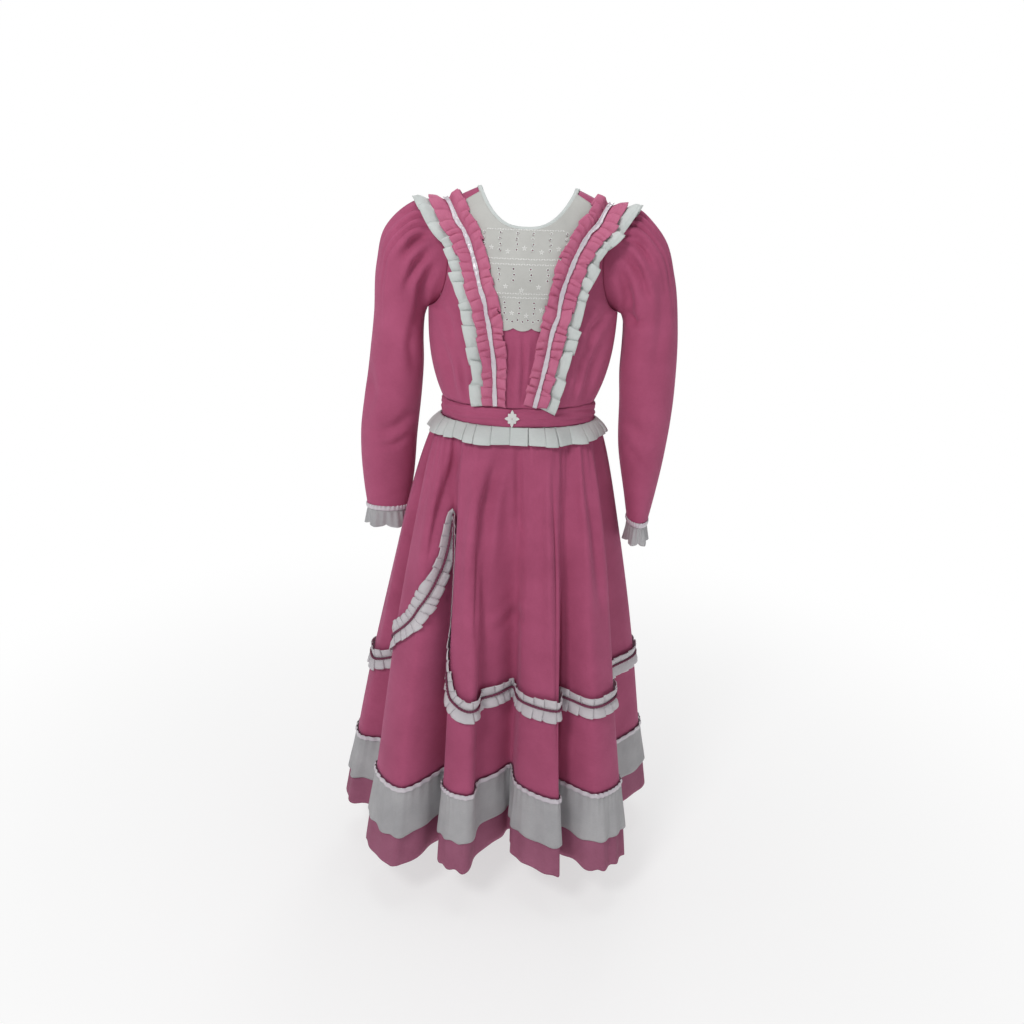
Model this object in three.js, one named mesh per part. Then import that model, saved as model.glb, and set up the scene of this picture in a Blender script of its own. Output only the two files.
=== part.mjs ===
// A prenda dress: the long ruffled dress of southern Brazil, filled out as it is worn, empty inside.
//
// Frame: millimetres, +Z up, the front faces -Y, the wearer's left is +X. The origin is the middle
// of the shoulder line, where the dress hangs on the wearer. Every piece is a wall of cloth: a grid
// of points on its outer side, and the same points moved in by the wall. Pieces keep a seam's gap.
import * as THREE from 'three';

// ---- Driving dimensions, in millimetres ----
const SEAM = 0.3; // gap between two pieces that are sewn together
const CLOTH = 2.0; // wall of the pink dress cloth
const TRIM = 1.2; // wall of ruffles, frills and ribbons

const SHOULDER = { half: 170, tipZ: -25, rise: 62.4, round: 1.6, neck: 0.541 };
const UNDERARM = { half: 180, z: -200, down: 0.5 };
const ARMHOLE = { inset: 34, depth: 48, steps: 8 };
const CHEST = { front: 116, back: 103, capAt: 0.42, capRound: 0.7, full: 0.8 };
const WAIST = { x: -5, half: 149, depth: 105, top: -374, bottom: -410, taper: 2.6 };
const NECK = { half: 91, tipZ: 14, frontZ: -55, backZ: -82, sharp: 3.6 };
const HEM = { ribbon: -1140, white: -1240, pink: -1307 };

// ---- Colours ----
const finish = (color, roughness) => new THREE.MeshStandardMaterial({ color, roughness, metalness: 0 });
const pink = finish('#b4568a', 0.85);
const dustyPink = finish('#a5688c', 0.85);
const white = finish('#e9eaec', 0.9);
const satin = finish('#f2e6ee', 0.35);
const wine = finish('#8c3a5e', 0.7);

// ---- Small helpers ----
const { lerp, degToRad, clamp } = THREE.MathUtils;
const point = (x, y, z) => new THREE.Vector3(x, y, z);
const steps = (count, value) => Array.from({ length: count + 1 }, (_, k) => value(k / count, k));
const span = (from, to, count) => steps(count, (t) => lerp(from, to, t));

/** Value of a named column at a place in a table whose rows are sorted by another column. */
function lookUp(table, key, column, place) {
  const next = table.findIndex((row) => row[key] >= place);
  if (next === 0) return table[0][column];
  if (next < 0) return table[table.length - 1][column];
  const [low, high] = [table[next - 1], table[next]];
  return lerp(low[column], high[column], (place - low[key]) / (high[key] - low[key]));
}

/** Normals of a grid of points. Columns run counter-clockwise seen from above, rows run down. */
function gridNormals(rows, ring) {
  const columns = rows[0].length;
  const before = (i) => (ring ? (i + columns - 1) % columns : Math.max(i - 1, 0));
  const after = (i) => (ring ? (i + 1) % columns : Math.min(i + 1, columns - 1));
  return rows.map((row, j) => row.map((_, i) => {
    const along = row[after(i)].clone().sub(row[before(i)]);
    const lower = rows[Math.min(j + 1, rows.length - 1)][i];
    const down = lower.clone().sub(rows[Math.max(j - 1, 0)][i]);
    return down.cross(along).normalize();
  }));
}

/** A closed wall of cloth from its outer points and their normals. */
function wall(rows, normals, thickness, ring) {
  const columns = rows[0].length;
  const inner = rows.map((row, j) => row.map((p, i) => p.clone().addScaledVector(normals[j][i], -thickness)));
  const positions = [...rows, ...inner].flat().flatMap((p) => [p.x, p.y, p.z]);
  const out = (j, i) => j * columns + (i % columns);
  const lining = (j, i) => rows.length * columns + out(j, i);
  const faces = [];
  const quad = (a, b, c, d) => faces.push(a, b, c, c, b, d);
  const last = rows.length - 1;
  const spans = ring ? columns : columns - 1;
  for (let i = 0; i < spans; i += 1) {
    for (let j = 0; j < last; j += 1) {
      quad(out(j, i), out(j + 1, i), out(j, i + 1), out(j + 1, i + 1));
      faces.push(lining(j, i), lining(j, i + 1), lining(j + 1, i));
      faces.push(lining(j, i + 1), lining(j + 1, i + 1), lining(j + 1, i));
    }
    quad(lining(0, i), out(0, i), lining(0, i + 1), out(0, i + 1));
    quad(out(last, i), lining(last, i), out(last, i + 1), lining(last, i + 1));
  }
  if (!ring) {
    for (let j = 0; j < last; j += 1) {
      quad(out(j, 0), lining(j, 0), out(j + 1, 0), lining(j + 1, 0));
      quad(lining(j, spans), out(j, spans), lining(j + 1, spans), out(j + 1, spans));
    }
  }
  const geometry = new THREE.BufferGeometry();
  geometry.setAttribute('position', new THREE.Float32BufferAttribute(positions, 3));
  geometry.setIndex(faces);
  geometry.computeVertexNormals();
  return geometry;
}

const dress = new THREE.Group();
dress.name = 'prenda_dress';

/** Adds one cloth piece. level lists rows whose cut edge lies level, so its rim is flat. */
function addCloth(name, material, rows, { ring = false, thickness = CLOTH, normals, level = [] } = {}) {
  const outward = normals ?? gridNormals(rows, ring);
  level.forEach((j) => outward.at(j).forEach((n) => n.setZ(0).normalize()));
  const mesh = new THREE.Mesh(wall(rows, outward, thickness, ring), material);
  mesh.name = name;
  dress.add(mesh);
}

// ---- Bodice ----
/**
 * A point of the bodice. across runs from -1 at the right arm to 1 at the left. over runs from -1
 * at the front waist, through 0 on the shoulder line, to 1 at the back waist.
 */
function torso(across, over) {
  const down = Math.abs(over);
  const arm = Math.min(down / UNDERARM.down, 1);
  const low = Math.max((down - UNDERARM.down) / (1 - UNDERARM.down), 0);
  const open = Math.sin(Math.PI * arm);
  const upperHalf = lerp(SHOULDER.half, UNDERARM.half, arm) - ARMHOLE.inset * open;
  const half = upperHalf - (UNDERARM.half - WAIST.half) * low ** WAIST.taper;
  const cap = Math.sin((Math.PI / 2) * Math.min(down / CHEST.capAt, 1)) ** CHEST.capRound;
  const chest = over < 0 ? CHEST.front : CHEST.back;
  const depth = cap * lerp(chest, WAIST.depth, low ** 2);
  const edge = ARMHOLE.depth * open;
  const turn = (Math.PI / 2) * across;
  const bulge = Math.max(Math.cos(turn), 0) ** lerp(CHEST.full, 1, low);
  const ridge = SHOULDER.tipZ + SHOULDER.rise * (1 - Math.abs(across) ** SHOULDER.round);
  const fall = lerp(arm, (1 - Math.cos(Math.PI * arm)) / 2, across ** 2);
  return point(
    WAIST.x * down + half * lerp(across, Math.sin(turn), arm),
    Math.sign(over) * (edge + (depth - edge) * bulge),
    lerp(ridge, UNDERARM.z, fall) + (WAIST.top + SEAM - UNDERARM.z) * low,
  );
}

/** The outward normal of the bodice, from two short steps on it. */
function torsoNormal(across, over) {
  const step = 0.004;
  const along = torso(across + step, over).sub(torso(across - step, over));
  const up = torso(across, over + step).sub(torso(across, over - step));
  return along.cross(up).normalize();
}

/** The place on the bodice, as across and over, of a point seen from the front or the back. */
function torsoPlace(side, x, z) {
  const place = { across: x / SHOULDER.half, over: side * 0.4 };
  for (let pass = 0; pass < 60; pass += 1) {
    const p = torso(place.across, place.over);
    place.across = clamp(place.across + (x - p.x) / 200, -1, 1);
    place.over = side * clamp(Math.abs(place.over) + (p.z - z) / 500, 0, 1);
  }
  return place;
}

/** Height of the neck's cut edge over a place across the body, on the front (-1) or the back (1). */
function neckZ(side, x) {
  const bottom = side < 0 ? NECK.frontZ : NECK.backZ;
  const reach = Math.min(Math.abs(x) / NECK.half, 1);
  return lerp(bottom, NECK.tipZ, reach ** NECK.sharp);
}

/** How far down from the shoulder line a column of a bodice panel starts: the neck is cut out. */
function neckDown(side, across) {
  if (Math.abs(across) >= SHOULDER.neck) return 0;
  let [high, low] = [0, UNDERARM.down];
  for (let pass = 0; pass < 30; pass += 1) {
    const middle = (high + low) / 2;
    const p = torso(across, side * middle);
    if (p.z > neckZ(side, p.x)) high = middle;
    else low = middle;
  }
  return high;
}

const halfColumns = [0, 0.15, 0.3, 0.4, 0.46, SHOULDER.neck, 0.66, 0.83, 1];
const bodiceColumns = [...halfColumns.slice(1).reverse().map((a) => -a), ...halfColumns];
const bodiceDowns = [
  ...span(0, UNDERARM.down, ARMHOLE.steps),
  ...span(UNDERARM.down, 1, 5).slice(1),
];

function bodicePanel(side) {
  const columns = side < 0 ? bodiceColumns : [...bodiceColumns].reverse();
  const rows = bodiceDowns.map((down) => columns.map((across) => {
    const start = neckDown(side, across);
    return torso(across, side * Math.max(lerp(start, 1, down), 1e-6));
  }));
  const normals = gridNormals(rows, false);
  const isSeam = (j, i) => {
    const onShoulder = j === 0 && Math.abs(columns[i]) >= SHOULDER.neck;
    const onSide = Math.abs(columns[i]) === 1 && j >= ARMHOLE.steps;
    return onShoulder || onSide;
  };
  rows.forEach((row, j) => row.forEach((p, i) => {
    if (!isSeam(j, i)) return;
    p.y = (side * SEAM) / 2;
    normals[j][i].setY(0).normalize();
  }));
  return { rows, normals, columns };
}

const panels = { front: bodicePanel(-1), back: bodicePanel(1) };
for (const [name, panel] of Object.entries(panels)) {
  addCloth(`bodice_${name}`, pink, panel.rows, { normals: panel.normals, level: [-1] });
}

/** A point near the bodice: over it by a height, at x and z as seen from the front or the back. */
function onBodice(side, x, z, height) {
  const { across, over } = torsoPlace(side, x, z);
  return torso(across, over).addScaledVector(torsoNormal(across, over), height);
}

// ---- Plastron: eyelet panel on the front, with a scalloped lower edge ----
// Its top follows the neck as far as neckHalf, and then falls over the yoke to its upper corners.
const PLASTRON = {
  neckHalf: 84, neckZ: 7, topHalf: 118, topZ: -13, bottomZ: -222, left: 46, right: -52,
  scallop: 5, perScallop: 4, crowd: 1.4,
};
const LIFT = { plastron: 2.9, ruffle: 1.55, ruche: 4.6, ribbon: 7.0 }; // outer faces over the bodice

const plastronRows = span(0, 1, 7).map((t) => span(-1, 1, 16).map((across, i) => {
  const down = t ** PLASTRON.crowd;
  const topX = across * PLASTRON.topHalf;
  const pastNeck = (Math.abs(topX) - PLASTRON.neckHalf) / (PLASTRON.topHalf - PLASTRON.neckHalf);
  const yokeZ = lerp(PLASTRON.neckZ, PLASTRON.topZ, pastNeck);
  const topZ = pastNeck < 0 ? neckZ(-1, topX) - SEAM : yokeZ;
  const bottomX = lerp(PLASTRON.right, PLASTRON.left, (across + 1) / 2);
  const bottomZ = PLASTRON.bottomZ - (i % PLASTRON.perScallop ? PLASTRON.scallop : 0);
  return onBodice(-1, lerp(topX, bottomX, down), lerp(topZ, bottomZ, down), LIFT.plastron);
}));
addCloth('plastron', white, plastronRows, { thickness: TRIM });

// ---- Neck binding: a band that carries on from the neck's cut edge, all round ----
const BINDING = { width: 10, thickness: 2.4, lift: 1, seam: 0.9, lean: 12 };

function neckBinding() {
  const half = (side) => {
    const columns = side < 0 ? bodiceColumns : [...bodiceColumns].reverse();
    return columns.filter((a) => Math.abs(a) <= SHOULDER.neck).map((across) => {
      const down = Math.max(neckDown(side, across), 1e-4);
      return { p: torso(across, side * down), n: torsoNormal(across, side * down) };
    });
  };
  const loop = [...half(-1), ...half(1).slice(1, -1)];
  const edge = (reach) => loop.map(({ p, n }) => {
    const inward = point(-p.x, -p.y, BINDING.lean);
    inward.addScaledVector(n, -inward.dot(n)).normalize();
    return p.clone().addScaledVector(n, BINDING.lift).addScaledVector(inward, reach);
  });
  const rows = [edge(BINDING.width), edge(BINDING.seam)];
  addCloth('neck_binding', white, rows, { ring: true, thickness: BINDING.thickness });
}
neckBinding();

// ---- Ruches, ribbons and ruffles that run from the waist over the shoulder to the waist ----
const SASH_LINE = {
  right: [
    { side: -1, x: -47, z: -369 }, { side: -1, x: -51, z: -295 }, { side: -1, x: -58, z: -247 },
    { side: -1, x: -68, z: -195 }, { side: -1, x: -80, z: -151 }, { side: -1, x: -92, z: -105 },
    { side: -1, x: -109, z: -65 }, { side: -1, x: -129, z: -37 }, { side: 1, x: -137, z: -37 },
    { side: 1, x: -120, z: -80 }, { side: 1, x: -98, z: -150 }, { side: 1, x: -80, z: -250 },
    { side: 1, x: -66, z: -369 },
  ],
  left: [
    { side: -1, x: 24, z: -369 }, { side: -1, x: 41, z: -288 }, { side: -1, x: 52, z: -222 },
    { side: -1, x: 63, z: -168 }, { side: -1, x: 82, z: -108 }, { side: -1, x: 107, z: -62 },
    { side: -1, x: 129, z: -37 }, { side: 1, x: 137, z: -37 }, { side: 1, x: 120, z: -80 },
    { side: 1, x: 98, z: -150 }, { side: 1, x: 78, z: -250 }, { side: 1, x: 58, z: -369 },
  ],
};
// Along the sash, from the front waist (0) to the back waist (1): how far each edge lies from the
// ribbon, and how high the white ruffle's free edge stands over the bodice.
const SASH_WIDTH = [
  { at: 0, inner: 22, outer: 22, ruffle: 44, rise: 6 },
  { at: 0.3, inner: 26, outer: 26, ruffle: 46, rise: 12 },
  { at: 0.42, inner: 27, outer: 27, ruffle: 44, rise: 24 },
  { at: 0.5, inner: 27, outer: 28, ruffle: 50, rise: 34 },
  { at: 0.58, inner: 27, outer: 27, ruffle: 44, rise: 24 },
  { at: 0.7, inner: 26, outer: 26, ruffle: 46, rise: 12 },
  { at: 1, inner: 22, outer: 22, ruffle: 44, rise: 6 },
];
const SASH_STEP = 0.01; // step along the sash, as a share of it, from which its direction is found
const RUCHE = { pleats: 24, wave: 5, clearance: 2.4, climb: 0.45 };
const RIBBON = { half: 4.5, steps: 36, slack: 0.09 };
const RUFFLE = { pleats: 20, wave: 6, start: 12, slack: 0.03 };
const KNIFE = [0, 0.55, 1]; // height of a knife pleat at its three points

/**
 * A strip along the sash line, with its middle sample on the shoulder line. section(t, k) lists
 * its points as distance outward and height.
 */
function sash(name, material, side, count, section) {
  const line = SASH_LINE[side].map(({ side: face, x, z }) => {
    const { across, over } = torsoPlace(face, x, z);
    return point(across, over, 0);
  });
  const route = new THREE.CatmullRomCurve3(line);
  let [ridge, behind] = [0, 1];
  for (let pass = 0; pass < 30; pass += 1) {
    const middle = (ridge + behind) / 2;
    if (route.getPointAt(middle).y < 0) ridge = middle;
    else behind = middle;
  }
  const spot = (t) => {
    const place = t < 0.5 ? lerp(0, ridge, t * 2) : lerp(ridge, 1, t * 2 - 1);
    const { x: across, y: over } = route.getPointAt(clamp(place, 0, 1));
    return { p: torso(across, over), n: torsoNormal(across, over) };
  };
  const outwardSign = side === 'left' ? 1 : -1;
  const columns = steps(count, (t, k) => {
    const { p, n } = spot(t);
    const tangent = spot(t + SASH_STEP).p.sub(spot(t - SASH_STEP).p).normalize();
    const outward = tangent.cross(n).multiplyScalar(outwardSign).normalize();
    const points = section(t, k).map(([distance, height]) => {
      return p.clone().addScaledVector(outward, distance).addScaledVector(n, height);
    });
    return outwardSign > 0 ? points : points.reverse();
  });
  const rows = columns[0].map((_, j) => columns.map((column) => column[j]));
  addCloth(name, material, rows, { thickness: TRIM });
}

for (const side of ['right', 'left']) {
  const width = (t, column) => lookUp(SASH_WIDTH, 'at', column, t);
  const knife = (k) => KNIFE[k % KNIFE.length];
  sash(`white_ruffle_${side}`, white, side, RUFFLE.pleats * KNIFE.length, (t, k) => {
    const edge = LIFT.ruffle + width(t, 'rise') + RUFFLE.wave * knife(k);
    return [[RUFFLE.start, LIFT.ruffle + width(t, 'rise') * RUFFLE.slack], [width(t, 'ruffle'), edge]];
  });
  const overRuffle = (t) => RUCHE.clearance + width(t, 'rise') * RUCHE.climb;
  sash(`ruche_${side}`, pink, side, RUCHE.pleats * KNIFE.length, (t, k) => {
    const wave = RUCHE.wave * knife(k);
    return [
      [-width(t, 'inner'), LIFT.ruche + wave],
      [0, LIFT.ruche],
      [width(t, 'outer'), LIFT.ruche + overRuffle(t) + wave],
    ];
  });
  sash(`ruche_ribbon_${side}`, satin, side, RIBBON.steps, (t) => {
    const innerSlope = RUCHE.wave / width(t, 'inner');
    const outerSlope = (overRuffle(t) + RUCHE.wave) / width(t, 'outer');
    const lift = LIFT.ribbon + width(t, 'rise') * RIBBON.slack;
    return [
      [-RIBBON.half, lift + RIBBON.half * innerSlope],
      [RIBBON.half, lift + RIBBON.half * outerSlope],
    ];
  });
}

// ---- Sleeves ----
// Rings from the armhole to the cuff. outer and inner are the ring's far and near points seen from
// the front, as distance from the middle and height; depth is half its size front to back; back is
// how far its middle lies behind the shoulder line; gather is the share of the head's gathers.
const SLEEVES = {
  right: [
    { outerX: 207, outerZ: -19, innerX: 186, innerZ: -208, depth: 55, back: 0, gather: 0.5 },
    { outerX: 233, outerZ: -34, innerX: 190, innerZ: -220, depth: 64, back: 0, gather: 1 },
    { outerX: 262, outerZ: -64, innerX: 192, innerZ: -236, depth: 68, back: 0, gather: 0.9 },
    { outerX: 279, outerZ: -122, innerX: 193, innerZ: -262, depth: 66, back: 0, gather: 0.4 },
    { outerX: 288, outerZ: -220, innerX: 193, innerZ: -310, depth: 60, back: 6, gather: 0 },
    { outerX: 305, outerZ: -340, innerX: 198, innerZ: -372, depth: 55, back: 18, gather: 0 },
    { outerX: 324, outerZ: -455, innerX: 209, innerZ: -460, depth: 49, back: 38, gather: 0 },
    { outerX: 324, outerZ: -580, innerX: 222, innerZ: -580, depth: 34, back: 56, gather: 0 },
    { outerX: 318, outerZ: -636, innerX: 234, innerZ: -636, depth: 27, back: 60, gather: 0 },
  ],
  left: [
    { outerX: 205, outerZ: -19, innerX: 186, innerZ: -208, depth: 55, back: 0, gather: 0.5 },
    { outerX: 229, outerZ: -37, innerX: 190, innerZ: -220, depth: 64, back: 0, gather: 1 },
    { outerX: 256, outerZ: -67, innerX: 191, innerZ: -236, depth: 68, back: 0, gather: 0.9 },
    { outerX: 279, outerZ: -130, innerX: 191, innerZ: -264, depth: 66, back: 0, gather: 0.4 },
    { outerX: 295, outerZ: -226, innerX: 190, innerZ: -312, depth: 60, back: 0, gather: 0 },
    { outerX: 300, outerZ: -344, innerX: 194, innerZ: -372, depth: 56, back: 0, gather: 0 },
    { outerX: 293, outerZ: -462, innerX: 199, innerZ: -468, depth: 53, back: -2, gather: 0 },
    { outerX: 277, outerZ: -572, innerX: 218, innerZ: -570, depth: 47, back: -6, gather: 0 },
    { outerX: 267, outerZ: -624, innerX: 228, innerZ: -624, depth: 43, back: -8, gather: 0 },
  ],
};
const SLEEVE = { columns: 4 * ARMHOLE.steps, gather: 4, gatherSpan: 10 };
const GATHER_FOLD = [1, -0.3, -0.7]; // a gather at its three points
const CUFF = { ribbon: 10, ribbonLift: 1.8, lobes: 6, perLobe: 6, flare: 6, scallop: 5, right: 36, left: 38 };

/** The armhole's edge as a loop: outer points, the bodice's normals there, and the way outward. */
function armholeLoop(side) {
  const sign = side === 'left' ? 1 : -1;
  const edge = ({ rows, normals, columns }) => {
    const i = columns.indexOf(sign);
    const inside = i === 0 ? 1 : i - 1;
    return rows.slice(0, ARMHOLE.steps + 1).map((row, j) => ({
      p: row[i].clone(),
      n: normals[j][i].clone(),
      out: row[i].clone().sub(row[inside]).normalize(),
    }));
  };
  const [front, back] = [edge(panels.front), edge(panels.back)];
  const [first, second] = sign > 0 ? [back, front] : [front, back];
  const corners = [...first, ...second.slice(1, -1).reverse()];
  return corners.flatMap((corner, k) => {
    const next = corners[(k + 1) % corners.length];
    const mix = (key) => corner[key].clone().add(next[key]).multiplyScalar(0.5);
    return [corner, { p: mix('p'), n: mix('n').normalize(), out: mix('out').normalize() }];
  });
}

function sleeveRing(side, row) {
  const sign = side === 'left' ? 1 : -1;
  const outer = point(sign * row.outerX, row.back, row.outerZ);
  const inner = point(sign * row.innerX, row.back, row.innerZ);
  const middle = outer.clone().add(inner).multiplyScalar(0.5);
  const reach = outer.sub(middle);
  return steps(SLEEVE.columns - 1, (_, k) => {
    const turn = (2 * Math.PI * k) / SLEEVE.columns;
    const spoke = reach.clone().multiplyScalar(Math.cos(turn));
    spoke.y += sign * row.depth * Math.sin(turn);
    const fromTop = Math.min(k, SLEEVE.columns - k);
    const fold = fromTop < SLEEVE.gatherSpan ? GATHER_FOLD[(k + SLEEVE.columns) % 3] : 0;
    spoke.setLength(spoke.length() + row.gather * SLEEVE.gather * fold);
    return middle.clone().add(spoke);
  });
}

for (const side of ['right', 'left']) {
  const loop = armholeLoop(side);
  const head = loop.map(({ p, out }) => p.clone().addScaledVector(out, SEAM));
  const rings = SLEEVES[side].map((row) => sleeveRing(side, row));
  const rows = [head, ...rings];
  const normals = gridNormals(rows, true);
  normals[0] = loop.map(({ n }) => n.clone());
  addCloth(`sleeve_${side}`, pink, rows, { ring: true, normals, level: [-1] });

  const end = SLEEVES[side].at(-1);
  const wrist = rings.at(-1);
  const taper = rings.at(-2);
  const share = CUFF.ribbon / (SLEEVES[side].at(-2).outerZ - end.outerZ);
  const middle = point(wrist.reduce((sum, p) => sum + p.x, 0) / wrist.length, end.back, end.outerZ);
  const ribbonRows = [share, 0].map((t) => wrist.map((p, i) => {
    const spoke = p.clone().sub(middle).setZ(0).setLength(CUFF.ribbonLift);
    return p.clone().lerp(taper[i], t).add(spoke);
  }));
  addCloth(`cuff_ribbon_${side}`, satin, ribbonRows, { ring: true, thickness: TRIM, level: [0, -1] });

  const frillSteps = CUFF.perLobe * CUFF.lobes;
  const sign = side === 'left' ? 1 : -1;
  const frillRows = [0, 0.5, 1].map((down) => steps(frillSteps - 1, (_, k) => {
    const turn = (2 * Math.PI * k) / frillSteps;
    const lobe = Math.cos(CUFF.lobes * turn);
    const radius = CUFF.flare * down * (1 + 0.5 * lobe);
    const x = middle.x + sign * ((end.outerX - end.innerX) / 2 + radius) * Math.cos(turn);
    const y = middle.y + sign * (end.depth + radius) * Math.sin(turn);
    const drop = (CUFF[side] - CUFF.scallop * (1 - lobe) * 0.5) * down;
    return point(x, y, end.outerZ - SEAM - drop);
  }));
  addCloth(`cuff_frill_${side}`, white, frillRows, { ring: true, thickness: TRIM, level: [0] });
}

// ---- Waistband, with soft level tucks ----
function waistPoint(turnDegrees, reach, z) {
  const turn = degToRad(turnDegrees);
  return point(WAIST.x + (WAIST.half + reach) * Math.sin(turn), -(WAIST.depth + reach) * Math.cos(turn), z);
}
const BAND_COLUMNS = 40;
const TUCKS = [{ at: 0, reach: 1 }, { at: 0.3, reach: 2.8 }, { at: 0.5, reach: 1.2 }, { at: 1, reach: 2.4 }];
const bandRows = TUCKS.map(({ at, reach }) => steps(BAND_COLUMNS - 1, (_, k) => {
  return waistPoint((360 * k) / BAND_COLUMNS, reach, lerp(WAIST.top, WAIST.bottom, at));
}));
addCloth('waistband', pink, bandRows, { ring: true, thickness: CLOTH, level: [0, -1] });

// ---- Skirt: one row for each flare, from the right side counter-clockwise through the front ----
// from, to and valley are bearings at the hem, in degrees from the front: both sides of the crest
// and the fold after it, with their radii there. The last three are their bearings at the waist.
const FLARES = [
  { from: -95, fromR: 360, to: -81, toR: 360, valley: -72, valleyR: 262, waist: [-106, -96, -87] },
  { from: -59, fromR: 347, to: -41, toR: 347, valley: -38, valleyR: 200, waist: [-74, -64, -51] },
  { from: -29.5, fromR: 280, to: -17, toR: 280, valley: 4, valleyR: 140, waist: [-36, -26, -1] },
  { from: 5, fromR: 218, to: 22, toR: 296, valley: 27, valleyR: 215, waist: [16, 26, 38] },
  { from: 37, fromR: 320, to: 51, toR: 320, valley: 66, valleyR: 232, waist: [47, 57, 68] },
  { from: 98, fromR: 328, to: 116, toR: 328, valley: 128, valleyR: 240, waist: [87, 97, 112] },
  { from: 136, fromR: 300, to: 150, toR: 300, valley: 158, valleyR: 218, waist: [125, 135, 148] },
  { from: 166, fromR: 294, to: 180, toR: 294, valley: 188, valleyR: 216, waist: [160, 170, 181] },
  { from: 197, fromR: 300, to: 211, toR: 300, valley: 220, valleyR: 222, waist: [193, 203, 214] },
  { from: 229, fromR: 311, to: 245, toR: 311, valley: 255, valleyR: 238, waist: [225, 235, 246] },
];
const SKIRT = { perStation: 2 };

const stations = FLARES.flatMap(({ from, fromR, to, toR, valley, valleyR, waist }) => [
  { hem: from, r: fromR, waist: waist[0] },
  { hem: to, r: toR, waist: waist[1] },
  { hem: valley, r: valleyR, waist: waist[2] },
]);
const bearing = (degrees, r) => point(r * Math.sin(degToRad(degrees)), -r * Math.cos(degToRad(degrees)), 0);
const hemPoints = stations.map(({ hem, r }) => bearing(hem, r));
const hemCurve = new THREE.CatmullRomCurve3(hemPoints, true, 'centripetal');
const skirtColumns = stations.length * SKIRT.perStation;

/** A point of the skirt at a column, which may be a part of one, and a height. */
function skirtPoint(column, z) {
  const place = (column / SKIRT.perStation) % stations.length;
  const station = Math.floor(place);
  const next = station + 1 === stations.length ? { waist: stations[0].waist + 360 } : stations[station + 1];
  const top = waistPoint(lerp(stations[station].waist, next.waist, place - station), 0, z);
  const fall = clamp((WAIST.bottom - z) / (WAIST.bottom - HEM.pink), 0, 1);
  const grow = (fall + Math.sqrt(fall)) / 2;
  return top.lerp(hemCurve.getPoint(place / stations.length).setZ(z), grow);
}

const skirtHeights = [
  WAIST.bottom - SEAM, -428, -463, -513, -590, -690, -810, -950, -1050, HEM.ribbon + SEAM,
];
const flounceHeights = [HEM.ribbon, -1220, HEM.pink];
const skirtRing = (z) => steps(skirtColumns - 1, (_, column) => skirtPoint(column, z));
const ringRows = (heights) => heights.map(skirtRing);
const skirtGrid = ringRows([...skirtHeights, ...flounceHeights.slice(1)]);
const skirtNormals = gridNormals(skirtGrid, true);
const gridHeights = skirtGrid.map((row) => row[0].z);

/** A part of the ring of skirt rows, from one column to another, parted from its neighbour. */
function skirtPanel(name, from, to) {
  const pick = (grid) => skirtHeights.map((_, j) => {
    return steps(to - from, (t, k) => grid[j][(from + k) % skirtColumns].clone());
  });
  const rows = pick(skirtGrid);
  const normals = pick(skirtNormals);
  rows.forEach((row) => {
    const [first, last] = [row[0], row.at(-1)];
    const firstGap = row[1].clone().sub(first).setLength(SEAM / 2);
    const lastGap = row.at(-2).clone().sub(last).setLength(SEAM / 2);
    first.add(firstGap);
    last.add(lastGap);
  });
  addCloth(name, pink, rows, { normals, level: [0, -1] });
}
const perFlare = 3 * SKIRT.perStation;
const SIDE_SEAM = { right: 1, left: 5 * perFlare + 1 }; // columns at the right and left side of the body
skirtPanel('skirt_front', SIDE_SEAM.right, SIDE_SEAM.left);
skirtPanel('skirt_back', SIDE_SEAM.left, SIDE_SEAM.right + skirtColumns);

/** A point over the skirt's flat faces, at a whole or half column and a height, moved out. */
function overSkirt(column, z, height) {
  const j = clamp(gridHeights.findIndex((rowZ) => rowZ <= z) - 1, 0, gridHeights.length - 2);
  const down = clamp((gridHeights[j] - z) / (gridHeights[j] - gridHeights[j + 1]), 0, 1);
  const i = Math.floor(column) % skirtColumns;
  const right = (i + 1) % skirtColumns;
  const across = column - Math.floor(column);
  const mix = (grid) => {
    const [a, c, b, d] = [grid[j][i], grid[j][right], grid[j + 1][i], grid[j + 1][right]];
    const past = across + down - 1;
    const corner = past <= 0 ? a.clone().multiplyScalar(-past) : d.clone().multiplyScalar(past);
    const [shareC, shareB] = past <= 0 ? [across, down] : [1 - down, 1 - across];
    return corner.addScaledVector(c, shareC).addScaledVector(b, shareB);
  };
  return mix(skirtGrid).addScaledVector(mix(skirtNormals).normalize(), height);
}

// ---- Hem: pink flounce, white flounce over it, satin ribbon over their seam ----
addCloth('hem_flounce_pink', dustyPink, ringRows(flounceHeights), { ring: true, level: [0, -1] });
const OVER_HEM = { whiteTop: -1142, whiteLift: 2, ribbonHalf: 5, ribbonLift: 3.9 };
const hemRing = (z, height) => steps(skirtColumns - 1, (_, column) => overSkirt(column, z, height));
const whiteHeights = [OVER_HEM.whiteTop, flounceHeights[1], HEM.white];
const whiteRows = whiteHeights.map((z) => hemRing(z, OVER_HEM.whiteLift));
addCloth('hem_flounce_white', white, whiteRows, { ring: true, thickness: TRIM });
const ribbonRows = [1, -1].map((edge) => {
  return hemRing(HEM.ribbon + edge * OVER_HEM.ribbonHalf, OVER_HEM.ribbonLift);
});
addCloth('hem_ribbon', satin, ribbonRows, { ring: true, thickness: TRIM });

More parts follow.
